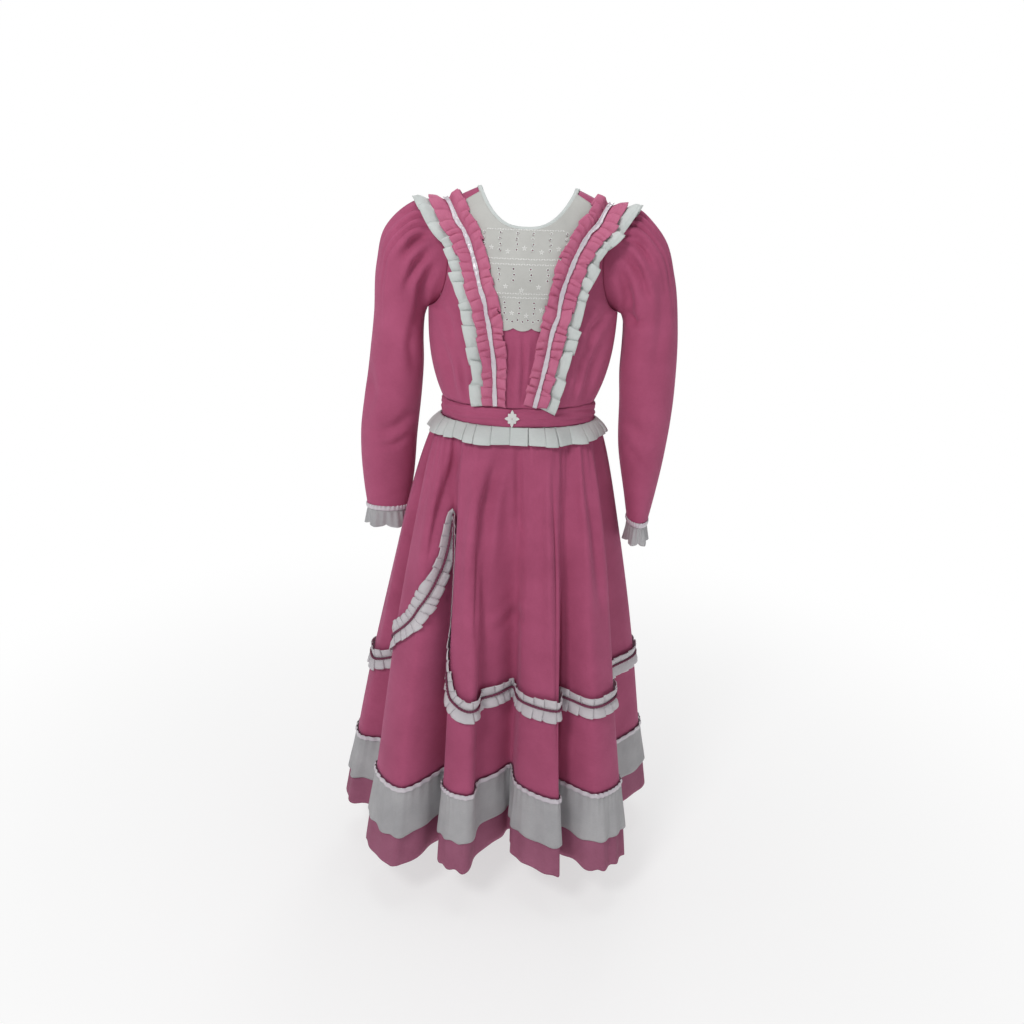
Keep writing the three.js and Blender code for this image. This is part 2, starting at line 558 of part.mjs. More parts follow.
// ---- Skirt trim: a two-sided ruched frill with a cord down its middle, level but for one peak ----
// flare counts the flares: a crest runs from its whole number to a third past it, and its valley
// lies at two thirds.
const TRIM_LEVEL = -950;
const TRIM_LINE = [
  { flare: 0.34, z: TRIM_LEVEL }, { flare: 0.67, z: -915 }, { flare: 1, z: -850 }, { flare: 1.17, z: -812 },
  { flare: 1.33, z: -768 }, { flare: 1.5, z: -690 }, { flare: 1.67, z: -590 }, { flare: 1.83, z: -800 },
  { flare: 2, z: -920 }, { flare: 2.17, z: TRIM_LEVEL },
];
const FRILL = { up: 20, down: 24, wave: 4, lift: 3.2, steepest: 2 };
const CORD = { half: 3, lift: 6.2 };
const trimZ = (column) => lookUp(TRIM_LINE, 'flare', 'z', (column % skirtColumns) / perFlare);

/** How much wider than its own width the trim reads up and down where it climbs. */
function trimClimb(column) {
  const [before, after] = [(column + skirtColumns - 0.5) % skirtColumns, (column + 0.5) % skirtColumns];
  const rise = trimZ(after) - trimZ(before);
  const run = overSkirt(after, trimZ(column), 0).distanceTo(overSkirt(before, trimZ(column), 0));
  return Math.min(Math.hypot(1, rise / run), FRILL.steepest);
}
const frillRows = [FRILL.up, 0, -FRILL.down].map((offset) => steps(2 * skirtColumns - 1, (_, k) => {
  const column = k / 2;
  const wave = offset ? FRILL.wave * KNIFE[k % KNIFE.length] : 0;
  return overSkirt(column, trimZ(column) + offset * trimClimb(column), FRILL.lift + wave);
}));
addCloth('skirt_trim', white, frillRows, { ring: true, thickness: TRIM });
const cordRows = [CORD.half, -CORD.half].map((offset) => steps(skirtColumns - 1, (_, column) => {
  return overSkirt(column, trimZ(column) + offset * trimClimb(column), CORD.lift);
}));
addCloth('skirt_trim_cord', wine, cordRows, { ring: true, thickness: TRIM });

// ---- Waist frill: box pleats that hang from the band over the skirt ----
const WAIST_FRILL = { pleats: 24, drop: 34, lift: 2.6, flare: 5, wave: 5 };
const BOX = [1, 1, 0]; // height of a box pleat at its three points
const frillColumns = WAIST_FRILL.pleats * BOX.length;
const waistFrillRows = [0, 1].map((down) => steps(frillColumns - 1, (_, k) => {
  const z = WAIST.bottom - SEAM * 2 - WAIST_FRILL.drop * down;
  const base = skirtPoint((k * skirtColumns) / frillColumns, z);
  const spoke = base.clone().sub(point(WAIST.x, 0, z));
  const reach = WAIST_FRILL.lift + (WAIST_FRILL.flare + WAIST_FRILL.wave * BOX[k % BOX.length]) * down;
  return base.add(spoke.setLength(reach));
}));
addCloth('waist_frill', white, waistFrillRows, { ring: true, thickness: TRIM, level: [0] });

// ---- Rosette: a small crochet diamond at the front of the band ----
const ROSETTE = { x: -16, halfWidth: 14, halfHeight: 17, thickness: 2, lift: 3.2, lobes: 8, notch: 0.14 };

function rosette() {
  const outline = new THREE.Shape();
  const corners = 4 * ROSETTE.lobes;
  steps(corners - 1, (_, k) => {
    const turn = (2 * Math.PI * k) / corners;
    const reach = 1 - ROSETTE.notch * (1 - Math.cos(ROSETTE.lobes * turn));
    const diamond = 1 / (Math.abs(Math.cos(turn)) + Math.abs(Math.sin(turn)));
    const [x, y] = [Math.cos(turn), Math.sin(turn)].map((part) => part * diamond * reach);
    if (k === 0) outline.moveTo(x * ROSETTE.halfWidth, y * ROSETTE.halfHeight);
    else outline.lineTo(x * ROSETTE.halfWidth, y * ROSETTE.halfHeight);
  });
  outline.closePath();
  const plate = new THREE.ExtrudeGeometry(outline, { depth: ROSETTE.thickness, bevelEnabled: false });
  const mesh = new THREE.Mesh(plate, white);
  mesh.name = 'rosette';
  mesh.rotation.x = Math.PI / 2;
  mesh.position.set(ROSETTE.x, -(WAIST.depth + ROSETTE.lift), (WAIST.top + WAIST.bottom) / 2);
  dress.add(mesh);
}
rosette();

export default dress;
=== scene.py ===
# %% [markdown]
# # A prenda dress
#
# The long ruffled dress of southern Brazil, filled out as it is worn, with nobody in it. The packed
# CAD model is the fixed frame, and each of its rigid cloth walls is replaced here by finer cloth:
# real pleat counts, gathers, soft creases, eyelets, weave and sheen.
#
# Everything is in metres. The origin is the middle of the shoulder line, +Z is up, the front faces
# -Y and the wearer's left is +X.

import bpy
import numpy as np
from mathutils import Euler, Matrix, Vector


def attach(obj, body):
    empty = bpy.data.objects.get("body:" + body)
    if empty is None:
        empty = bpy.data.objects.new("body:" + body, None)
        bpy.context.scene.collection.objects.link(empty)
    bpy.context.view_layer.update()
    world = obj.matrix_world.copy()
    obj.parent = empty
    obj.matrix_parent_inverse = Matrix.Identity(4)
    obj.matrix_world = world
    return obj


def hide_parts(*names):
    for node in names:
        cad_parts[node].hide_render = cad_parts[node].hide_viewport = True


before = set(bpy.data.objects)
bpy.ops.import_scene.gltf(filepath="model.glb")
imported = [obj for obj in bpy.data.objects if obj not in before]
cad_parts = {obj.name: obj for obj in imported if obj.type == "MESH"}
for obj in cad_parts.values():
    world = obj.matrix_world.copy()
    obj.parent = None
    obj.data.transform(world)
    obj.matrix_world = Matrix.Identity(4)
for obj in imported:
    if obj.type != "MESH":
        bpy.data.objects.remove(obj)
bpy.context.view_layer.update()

# %% [markdown]
# ## The cloth itself
#
# On the real dress every piece is a flat cut of cloth that pleats, seams and the body bend into
# shape. Blender could simulate that, but pleats this small are hard to steer, so each piece is a
# grid of points worked out by a formula. The grid's columns run counter-clockwise seen from above
# and its rows run down, so the outer side is always the same side. The grid then gets a thin wall,
# with its rim closed, and a UV map in metres for the weave.

# %% Mixing, tables and normals
def mix(a, b, t):
    return a + (b - a) * t


def smooth(t):
    """Eases from 0 to 1 as t goes from 0 to 1, and stays there outside."""
    t = np.clip(t, 0, 1)
    return t * t * (3 - 2 * t)


def table(columns, *rows):
    """A table of rows whose entries are called by their column's name."""
    return [dict(zip(columns.split(), row)) for row in rows]


def column(rows, name):
    return [row[name] for row in rows]


def unit(v):
    return v / np.maximum(np.linalg.norm(v, axis=-1, keepdims=True), 1e-12)


def together(*values):
    """Numbers and arrays, brought to one shape."""
    return np.broadcast_arrays(*(np.asarray(value, float) for value in values))


def running(points):
    """Running length along a row of points."""
    return np.concatenate([[0], np.cumsum(np.linalg.norm(np.diff(points, axis=0), axis=1))])


def hump(place, middle, width, power=2):
    """1 at the middle, falling to almost 0 at twice the width from it."""
    return np.exp(-(((place - middle) / width) ** power))


def all_round(count):
    """Evenly spaced angles over a full turn."""
    return np.linspace(0, 2 * np.pi, count, endpoint=False)


def outward(points, ring=False):
    """Outward normals of a grid of points."""
    if ring:
        along = np.roll(points, -1, 1) - np.roll(points, 1, 1)
    else:
        along = np.gradient(points, axis=1)
    return unit(np.cross(np.gradient(points, axis=0), along))


def curve_through(knots, values, at):
    """A smooth curve through values at uneven knots, read at other places."""
    knots, values, at = np.asarray(knots, float), np.asarray(values, float), np.asarray(at, float)
    step = np.diff(knots)
    shape = (-1,) + (1,) * (values.ndim - 1)
    slope = np.diff(values, axis=0) / step.reshape(shape)
    inner = (slope[:-1] * step[1:].reshape(shape) + slope[1:] * step[:-1].reshape(shape)) / (
        step[:-1] + step[1:]
    ).reshape(shape)
    tangent = np.concatenate([slope[:1], inner, slope[-1:]])
    i = np.clip(np.searchsorted(knots, at) - 1, 0, len(step) - 1)
    w = ((at - knots[i]) / step[i]).reshape(at.shape + (1,) * (values.ndim - 1))
    h = step[i].reshape(w.shape)
    return (
        values[i] * (2 * w**3 - 3 * w**2 + 1)
        + tangent[i] * h * (w**3 - 2 * w**2 + w)
        + values[i + 1] * (3 * w**2 - 2 * w**3)
        + tangent[i + 1] * h * (w**3 - w**2)
    )


# %% A wall of cloth from a grid
def lengths(points, axis):
    """Running length along one axis of a grid, averaged over the other."""
    step = np.linalg.norm(np.diff(points, axis=axis), axis=-1).mean(axis=1 - axis)
    return np.concatenate([[0], np.cumsum(step)])


def cloth(name, points, thickness, ring=False, normals=None, keep=None):
    """A closed thin wall of cloth, from the points of its outer side. keep leaves out squares."""
    rows, columns = points.shape[:2]
    normals = outward(points, ring) if normals is None else normals
    total = rows * columns
    ids = np.arange(total).reshape(rows, columns)
    around, down = lengths(points, 1), lengths(points, 0)
    if ring:
        ids = np.concatenate([ids, ids[:, :1]], 1)
        closing = np.linalg.norm(points[:, 0] - points[:, -1], axis=-1).mean()
        around = np.append(around, around[-1] + closing)
    u, v = np.meshgrid(around, -down)

    def corners(grid):
        return np.stack([grid[:-1, :-1], grid[1:, :-1], grid[1:, 1:], grid[:-1, 1:]], -1)

    keep = np.ones((rows - 1, len(around) - 1), bool) if keep is None else keep
    outer = corners(ids)[keep]
    outer_uv = np.stack([corners(u)[keep], corners(v)[keep]], -1)
    start, end = outer, np.roll(outer, -1, 1)
    free = ~np.isin(start * total + end, end * total + start)
    s, e = start[free], end[free]
    rim = np.stack([e, s, s + total, e + total], -1)
    s_uv, e_uv = outer_uv[free], np.roll(outer_uv, -1, 1)[free]
    quads = np.concatenate([outer, outer[:, ::-1] + total, rim])
    uv = np.concatenate([outer_uv, outer_uv[:, ::-1], np.stack([e_uv, s_uv, s_uv, e_uv], 1)])
    flat = points.reshape(-1, 3)
    lining = flat - normals.reshape(-1, 3) * thickness
    made = mesh_object(name, np.concatenate([flat, lining]), quads, uv)
    soft = np.ones(len(quads), bool)
    soft[2 * len(outer):] = False
    made.data.polygons.foreach_set("use_smooth", soft)
    print(name, len(quads), "faces")
    return made


def add_object(name, data):
    made = bpy.data.objects.new(name, data)
    bpy.context.scene.collection.objects.link(made)
    return made


def mesh_object(name, points, quads, uv):
    """A mesh of four-sided faces with a UV map, as an object at the origin."""
    used, quads = np.unique(quads, return_inverse=True)
    quads = quads.reshape(-1, 4)
    mesh = bpy.data.meshes.new(name)
    mesh.vertices.add(len(used))
    mesh.vertices.foreach_set("co", points[used].astype(np.float32).ravel())
    mesh.loops.add(quads.size)
    mesh.loops.foreach_set("vertex_index", quads.astype(np.int32).ravel())
    mesh.polygons.add(len(quads))
    mesh.polygons.foreach_set("loop_start", np.arange(0, quads.size, 4, dtype=np.int32))
    layer = mesh.uv_layers.new(name="cloth")
    layer.data.foreach_set("uv", uv.astype(np.float32).ravel())
    mesh.update(calc_edges=True)
    return add_object(name, mesh)

# %% [markdown]
# ## The bodice
#
# The bodice is cut in two panels that meet on the shoulders and down the sides, with a wide scooped
# neck. A body is easiest to describe by two directions: across, from -1 at the right arm to 1 at
# the left, and over, from -1 at the front waist through 0 on the shoulder line to 1 at the back
# waist. One formula turns any such place into a point, and everything sewn to the bodice uses the
# same formula, so it lies on the cloth by itself.

# %% Sizes of the body
SHOULDER_HALF, SHOULDER_TIP_Z, SHOULDER_RISE = 0.170, -0.025, 0.0624
SHOULDER_ROUND, SHOULDER_NECK = 1.6, 0.541
UNDERARM_HALF, UNDERARM_Z, UNDERARM_DOWN = 0.180, -0.200, 0.5
ARMHOLE_INSET, ARMHOLE_DEPTH = 0.034, 0.048
CHEST_FRONT, CHEST_BACK, CHEST_CAP_AT, CHEST_CAP_ROUND, CHEST_FULL = 0.116, 0.103, 0.42, 0.7, 0.8
WAIST_X, WAIST_HALF, WAIST_DEPTH, WAIST_TAPER = -0.005, 0.149, 0.105, 2.6
WAIST_TOP, WAIST_BOTTOM = -0.374, -0.410
NECK_HALF, NECK_TIP_Z, NECK_FRONT_Z, NECK_BACK_Z = 0.091, 0.014, -0.055, -0.082
NECK_SHARP_RIGHT, NECK_SHARP_LEFT, NECK_SHARP_BACK = 2.9, 2.5, 3.6  # how squarely each part is scooped
SEAM = 0.0003
BODICE_CLOTH = 0.0010


# %% The body as a formula
def torso(across, over):
    """A point of the bodice."""
    across, over = together(across, over)
    down = np.abs(over)
    arm = np.minimum(down / UNDERARM_DOWN, 1)
    low = np.maximum((down - UNDERARM_DOWN) / (1 - UNDERARM_DOWN), 0)
    gape = np.sin(np.pi * arm)
    half = mix(SHOULDER_HALF, UNDERARM_HALF, arm) - ARMHOLE_INSET * gape
    half = half - (UNDERARM_HALF - WAIST_HALF) * low**WAIST_TAPER
    cap = np.sin(np.pi / 2 * np.minimum(down / CHEST_CAP_AT, 1)) ** CHEST_CAP_ROUND
    depth = cap * mix(np.where(over < 0, CHEST_FRONT, CHEST_BACK), WAIST_DEPTH, low**2)
    edge = ARMHOLE_DEPTH * gape
    turn = np.pi / 2 * across
    bulge = np.maximum(np.cos(turn), 0) ** mix(CHEST_FULL, 1, low)
    ridge = SHOULDER_TIP_Z + SHOULDER_RISE * (1 - np.abs(across) ** SHOULDER_ROUND)
    fall = mix(arm, (1 - np.cos(np.pi * arm)) / 2, across**2)
    return np.stack(
        [
            WAIST_X * down + half * mix(across, np.sin(turn), arm),
            np.sign(over) * (edge + (depth - edge) * bulge),
            mix(ridge, UNDERARM_Z, fall) + (WAIST_TOP - UNDERARM_Z) * low,
        ],
        -1,
    )


def torso_normal(across, over, step=0.004):
    along = torso(across + step, over) - torso(across - step, over)
    up = torso(across, over + step) - torso(across, over - step)
    return unit(np.cross(along, up))


def torso_place(side, x, z):
    """Across and over of the point seen at x and z from the front (-1) or the back (1)."""
    x, z = together(x, z)
    across, over = x / SHOULDER_HALF, np.full(x.shape, side * 0.4)
    for _ in range(60):
        p = torso(across, over)
        across = np.clip(across + (x - p[..., 0]) / 0.2, -1, 1)
        over = side * np.clip(np.abs(over) + (p[..., 2] - z) / 0.5, 0, 1)
    return across, over


def neck_z(side, x):
    """Height of the neck's cut edge."""
    bottom = NECK_FRONT_Z if side < 0 else NECK_BACK_Z
    sharp = np.where(x < 0, NECK_SHARP_RIGHT, NECK_SHARP_LEFT) if side < 0 else NECK_SHARP_BACK
    return mix(bottom, NECK_TIP_Z, np.minimum(np.abs(x) / NECK_HALF, 1) ** sharp)


def neck_down(side, across):
    """How far down from the shoulder line the cloth starts, because the neck is cut out."""
    low, high = np.zeros_like(across), np.full_like(across, UNDERARM_DOWN)
    for _ in range(30):
        middle = (low + high) / 2
        p = torso(across, side * middle)
        above = p[..., 2] > neck_z(side, p[..., 0])
        low, high = np.where(above, middle, low), np.where(above, high, middle)
    return np.where(np.abs(across) >= SHOULDER_NECK, 0, high)


# %% [markdown]
# ### Soft creases
#
# Cloth pulls into long soft troughs where it is held, such as at the armhole and below the bust.
# Sculpting them by hand would be lost when the script runs again, so each crease is a short route
# seen from the front or the back, with a width and a depth. The cloth sinks along it and swells a
# little on both sides, as a real fold does.

# %% Creases
CREASE_STRENGTH = 1.4  # one knob over the depth of every crease
SWELL, SWELL_AT = 0.35, 1.7  # the swell beside a crease: its share of the depth, and its widths away


def crease(points, normals, route, width, depth, side=-1):
    """Sinks a grid along a route of (x, z), on the faces that look to the front (-1) or back (1)."""
    route = np.asarray(route, float)
    nearest = np.full(points.shape[:2], np.inf)
    place = np.zeros(points.shape[:2])
    for k, (a, b) in enumerate(zip(route[:-1], route[1:])):
        span = b - a
        t = np.clip(((points[..., [0, 2]] - a) @ span) / (span @ span), 0, 1)
        gap = np.linalg.norm(points[..., [0, 2]] - (a + t[..., None] * span), axis=-1)
        closer = gap < nearest
        nearest = np.where(closer, gap, nearest)
        place = np.where(closer, (k + t) / (len(route) - 1), place)
    ease = np.sin(np.pi * np.clip(place, 0.02, 0.98)) ** 0.7
    trough = hump(nearest, 0, width) - SWELL * hump(nearest, SWELL_AT * width, width)
    facing = smooth(side * normals[..., 1] * 2.5)
    return points - normals * (CREASE_STRENGTH * depth * ease * trough * facing)[..., None]


def folds(*rows):
    """Creases, each given as the side it is seen from, its width, its depth and the (x, z) it passes."""
    return [dict(side=side, width=width, depth=depth, route=route) for side, width, depth, *route in rows]


def seen_from(side, creases):
    return [fold for fold in creases if fold["side"] == side]


def creased(points, creases, ring=False):
    """The grid with every crease of a table sunk into it. A negative depth makes a ridge."""
    normals = outward(points, ring)
    for fold in creases:
        points = crease(points, normals, **fold)
    return points


# %% Bodice panels
BODICE_ROWS = 80
BODICE_FOLDS = folds(
    (-1, 0.0045, 0.003, (-0.016, -0.24), (-0.02, -0.3), (-0.018, -0.37)),
    (-1, 0.005, 0.0042, (0, -0.232), (0.004, -0.3), (0.001, -0.37)),
    (-1, 0.004, 0.0026, (0.018, -0.245), (0.014, -0.31), (0.01, -0.37)),
    (-1, 0.0085, 0.0048, (0.16, -0.19), (0.128, -0.225), (0.112, -0.29)),
    (-1, 0.009, 0.0052, (0.15, -0.24), (0.13, -0.3), (0.118, -0.365)),
    (-1, 0.006, 0.0034, (0.108, -0.27), (0.104, -0.32), (0.09, -0.37)),
    (-1, 0.009, 0.0044, (-0.165, -0.185), (-0.14, -0.215), (-0.126, -0.27)),
    (-1, 0.009, 0.005, (-0.155, -0.25), (-0.138, -0.31), (-0.128, -0.368)),
    (-1, 0.006, 0.0032, (-0.116, -0.28), (-0.11, -0.33), (-0.1, -0.372)),
    (1, 0.009, 0.0046, (-0.15, -0.23), (-0.128, -0.3), (-0.112, -0.368)),
    (1, 0.009, 0.0046, (0.148, -0.225), (0.124, -0.3), (0.108, -0.368)),
    (1, 0.007, 0.003, (-0.03, -0.25), (-0.026, -0.31), (-0.03, -0.37)),
    (1, 0.007, 0.003, (0.03, -0.24), (0.036, -0.31), (0.03, -0.37)),
    (1, 0.009, 0.0022, (-0.06, -0.11), (0, -0.122), (0.06, -0.112)),
)


def bodice_panel(side):
    inner = np.linspace(0, SHOULDER_NECK, 38)
    outer = mix(SHOULDER_NECK, 1, np.sin(np.linspace(0, np.pi / 2, 34)))
    half = np.concatenate([inner, outer[1:]])
    columns = np.concatenate([-half[:0:-1], half])
    columns = columns if side < 0 else columns[::-1]
    start = neck_down(side, columns)
    down = np.linspace(0, 1, BODICE_ROWS)[:, None]
    points = torso(columns[None], side * np.maximum(mix(start[None], 1, down), 1e-6))
    return creased(points, seen_from(side, BODICE_FOLDS))


bodice_front = cloth("bodice_front_cloth", bodice_panel(-1), BODICE_CLOTH)
bodice_back = cloth("bodice_back_cloth", bodice_panel(1), BODICE_CLOTH)

# %% [markdown]
# ## The plastron
#
# A white eyelet panel is laid on the front: its top follows the neck, its sides are hidden by the
# ruches, and its lower edge is scalloped. The grid lies on the bodice's formula, a little higher.
# The eyelets are real holes: squares of the grid near each eyelet's middle are left out, and the
# ring of thread sewn round each hole, made further down, covers the stepped edge.

# %% Plastron
PLASTRON_NECK_HALF, PLASTRON_NECK_Z = 0.084, 0.007
PLASTRON_TOP_HALF, PLASTRON_TOP_Z = 0.118, -0.013
PLASTRON_BOTTOM_Z, PLASTRON_LEFT, PLASTRON_RIGHT = -0.222, 0.046, -0.052
PLASTRON_SCALLOP, PLASTRON_SCALLOPS, PLASTRON_LIFT, PLASTRON_CLOTH = 0.006, 3, 0.0025, 0.0008
PLASTRON_COLUMNS, PLASTRON_ROWS = 110, 90


def on_bodice(side, x, z, height):
    """Point and normal over the bodice, at x and z as seen from the front or the back."""
    across, over = torso_place(side, x, z)
    normal = torso_normal(across, over)
    return torso(across, over) + normal * np.asarray(height)[..., None], normal


def plastron_grid():
    across, down = np.meshgrid(np.linspace(-1, 1, PLASTRON_COLUMNS), np.linspace(0, 1, PLASTRON_ROWS))
    top_x = across * PLASTRON_TOP_HALF
    past_neck = (np.abs(top_x) - PLASTRON_NECK_HALF) / (PLASTRON_TOP_HALF - PLASTRON_NECK_HALF)
    yoke_z = mix(PLASTRON_NECK_Z, PLASTRON_TOP_Z, past_neck)
    top_z = np.where(past_neck < 0, neck_z(-1, top_x) - SEAM, yoke_z)
    share = (across + 1) / 2
    bottom_x = mix(PLASTRON_RIGHT, PLASTRON_LEFT, share)
    bottom_z = PLASTRON_BOTTOM_Z - PLASTRON_SCALLOP * np.abs(np.sin(np.pi * PLASTRON_SCALLOPS * share)) ** 0.7
    return on_bodice(-1, mix(top_x, bottom_x, down), mix(top_z, bottom_z, down), PLASTRON_LIFT)


plastron_points, plastron_normals = plastron_grid()

# Eyelets, in upright columns of holes: the height of the column's middle and where columns stand.
EYELET_COLUMNS = [
    dict(z=-0.075, xs=(-0.077, -0.048, -0.018, 0.010, 0.041, 0.070), holes=4),
    dict(z=-0.130, xs=(-0.048, -0.022, 0.008, 0.038), holes=3),
    dict(z=-0.187, xs=(-0.036, -0.010, 0.016), holes=3),
]
EYELET_RADIUS = 0.0019
EYELET_GAP, EYELET_SHIFT = 0.0093, 0.0012  # from hole to hole in a column: down, and to the side
ZIGZAG = dict(z=-0.211, rise=0.003, xs=np.linspace(-0.040, 0.034, 9))


def eyelet_places():
    places = [
        (x + EYELET_SHIFT * (hole % 2), row["z"] + EYELET_GAP * (hole - (row["holes"] - 1) / 2))
        for row in EYELET_COLUMNS for x in row["xs"] for hole in range(row["holes"])
    ]
    places += [(x, ZIGZAG["z"] + ZIGZAG["rise"] * (k % 2)) for k, x in enumerate(ZIGZAG["xs"])]
    return np.array(places)


EYELETS = eyelet_places()
square = (plastron_points[:-1, :-1] + plastron_points[1:, 1:]) / 2
nearest_eyelet = np.linalg.norm(square[:, :, None, [0, 2]] - EYELETS, axis=-1).min(-1)
plastron = cloth("plastron_cloth", plastron_points, PLASTRON_CLOTH, normals=plastron_normals,
                 keep=nearest_eyelet > EYELET_RADIUS)
print("plastron:", len(EYELETS), "eyelets")

# %% [markdown]
# ### Neck binding
#
# A narrow white band, folded over the neck's cut edge. It carries on from the bodice's edge towards
# the neck, and its section is a flattened roll, which a closed ring of short sections gives.

# %% Neck binding
BINDING_WIDTH, BINDING_LIFT, BINDING_THICKNESS, BINDING_LEAN = 0.006, 0.0012, 0.0016, 0.012


def neck_loop(count=72):
    """Points and normals along the neck's edge, all round from the right, front first."""
    across = SHOULDER_NECK * np.sin(np.linspace(-np.pi / 2, np.pi / 2, count))
    front, back = across, across[::-1][1:-1]
    over = np.concatenate([-np.maximum(neck_down(-1, front), 1e-4), np.maximum(neck_down(1, back), 1e-4)])
    across = np.concatenate([front, back])
    return torso(across, over), torso_normal(across, over)


def neck_binding():
    edge, normal = neck_loop()
    inward = np.stack([-edge[:, 0], -edge[:, 1], np.full(len(edge), BINDING_LEAN)], -1)
    inward = unit(inward - (inward * normal).sum(-1, keepdims=True) * normal)
    rows = []
    for t in np.linspace(1, 0, 9):
        roll = BINDING_LIFT * (0.3 + 0.7 * np.sin(np.pi * t) ** 0.5)
        reach = mix(-0.002, BINDING_WIDTH, t)
        rows.append(edge + normal * (roll + 0.0012 * (1 - t)) + inward * reach)
    return cloth("neck_binding_cloth", np.array(rows), BINDING_THICKNESS, ring=True)


neck_band = neck_binding()

# %% [markdown]
# ## Ruches, ribbons and white ruffles
#
# Three long trims run together from the front waist over the shoulder to the back waist: a white
# pleated ruffle, a pink ruche sewn down its middle, and a satin ribbon over that seam. They share
# one line on the bodice. A knife pleat is a fold that laps over the next one, so its section goes
# up, over and back under itself; that overhang is what draws the thin dark line between pleats.

# %% The line of the sash
RIGHT_SASH = [(-1, -0.047, -0.369), (-1, -0.051, -0.295), (-1, -0.058, -0.247), (-1, -0.068, -0.195),
              (-1, -0.080, -0.151), (-1, -0.092, -0.105), (-1, -0.109, -0.065), (-1, -0.129, -0.037),
              (1, -0.137, -0.037), (1, -0.120, -0.080), (1, -0.098, -0.150), (1, -0.080, -0.250),
              (1, -0.066, -0.369)]
LEFT_SASH = [(-1, 0.024, -0.369), (-1, 0.041, -0.288), (-1, 0.052, -0.222), (-1, 0.063, -0.168),
             (-1, 0.082, -0.108), (-1, 0.107, -0.062), (-1, 0.129, -0.037), (1, 0.137, -0.037),
             (1, 0.120, -0.080), (1, 0.098, -0.150), (1, 0.078, -0.250), (1, 0.058, -0.369)]
SASH_WIDTH = table("at inner outer ruffle rise",
    (0, 0.022, 0.022, 0.044, 0.006),
    (0.3, 0.026, 0.026, 0.046, 0.012),
    (0.42, 0.027, 0.027, 0.046, 0.022),
    (0.5, 0.027, 0.028, 0.05, 0.034),
    (0.58, 0.027, 0.027, 0.046, 0.022),
    (0.7, 0.026, 0.026, 0.046, 0.012),
    (1, 0.022, 0.022, 0.044, 0.006),
)
SIDES = {"right": (-1, RIGHT_SASH), "left": (1, LEFT_SASH)}  # the wearer's sides


def sash_route(line, count=2400):
    """Across and over along the sash, evenly by length in those two, with the shoulder at a half."""
    places = np.array([torso_place(side, x, z) for side, x, z in line], float).reshape(-1, 2)
    knots = np.concatenate([[0], np.cumsum(np.linalg.norm(np.diff(places, axis=0), axis=1) ** 0.5)])
    fine = curve_through(knots, places, np.linspace(0, knots[-1], count))
    run = running(fine)
    ridge = np.interp(0, fine[:, 1], run)

    def at(t):
        t = np.clip(t, 0, 1)
        place = np.where(t < 0.5, mix(0, ridge, t * 2), mix(ridge, run[-1], t * 2 - 1))
        return np.interp(place, run, fine[:, 0]), np.interp(place, run, fine[:, 1])

    return at


def sash_frame(sign, line, t, step=0.004):
    """Point, way along, way outward and normal at places along the sash."""
    at = sash_route(line)
    across, over = at(t)
    p, n = torso(across, over), torso_normal(across, over)
    along = unit(torso(*at(t + step)) - torso(*at(t - step)))
    out = unit(np.cross(along, n)) * sign
    return p, along, out, n


# %% A strip of pleats along a line
# One knife pleat: how far along its own length, and how high, at each point of its section.
KNIFE_PLEAT = [(0.00, 0.00), (0.16, 0.22), (0.36, 0.56), (0.58, 0.82), (0.80, 0.96), (0.97, 1.00),
               (1.06, 0.86), (1.05, 0.50), (0.99, 0.18)]


def pleats(count, rng, uneven=0.18, section=KNIFE_PLEAT):
    """Places (0 to 1) and heights of a row of pleats, with each pleat's own width and height."""
    width = 1 + uneven * rng.uniform(-1, 1, count)
    start = np.concatenate([[0], np.cumsum(width)])
    start /= start[-1]
    size = 1 + 0.8 * uneven * rng.uniform(-1, 1, count)
    place = [start[k] + a * (start[k + 1] - start[k]) for k in range(count) for a, _ in section]
    height = [size[k] * h for k in range(count) for _, h in section]
    number = [k for k in range(count) for _ in section]
    return np.array(place + [1.0]), np.array(height + [0.0]), np.array(number + [count - 1])


def strip(name, frame_of, t, distances, heights, shifts, thickness, sign):
    """A strip of cloth along a line. distances, heights and shifts along it have a row for each
    point of the strip's section and a column for each place in t."""
    p, along, out, n = frame_of(t)
    points = p + out * distances[..., None] + n * heights[..., None] + along * shifts[..., None]
    return cloth(name, points if sign > 0 else points[::-1], thickness)


# %% White ruffles, pink ruches and their ribbons
RUFFLE_PLEATS, RUFFLE_WAVE, RUFFLE_START, RUFFLE_CLOTH = 26, 0.0085, 0.012, 0.0007
RUCHE_PLEATS, RUCHE_WAVE, RUCHE_LIFT, RUCHE_CLOTH = 50, 0.0060, 0.0030, 0.0006
SHOULDER_CURL, SHOULDER_CURL_REACH = 1.1, 0.055  # the pleats stand up more on the shoulder
RUCHE_CLEARANCE, RUCHE_CLIMB = 0.0030, 0.45
SASH_RIBBON_HALF, SASH_RIBBON_LIFT, RIBBON_CLOTH = 0.0037, 0.0062, 0.0005

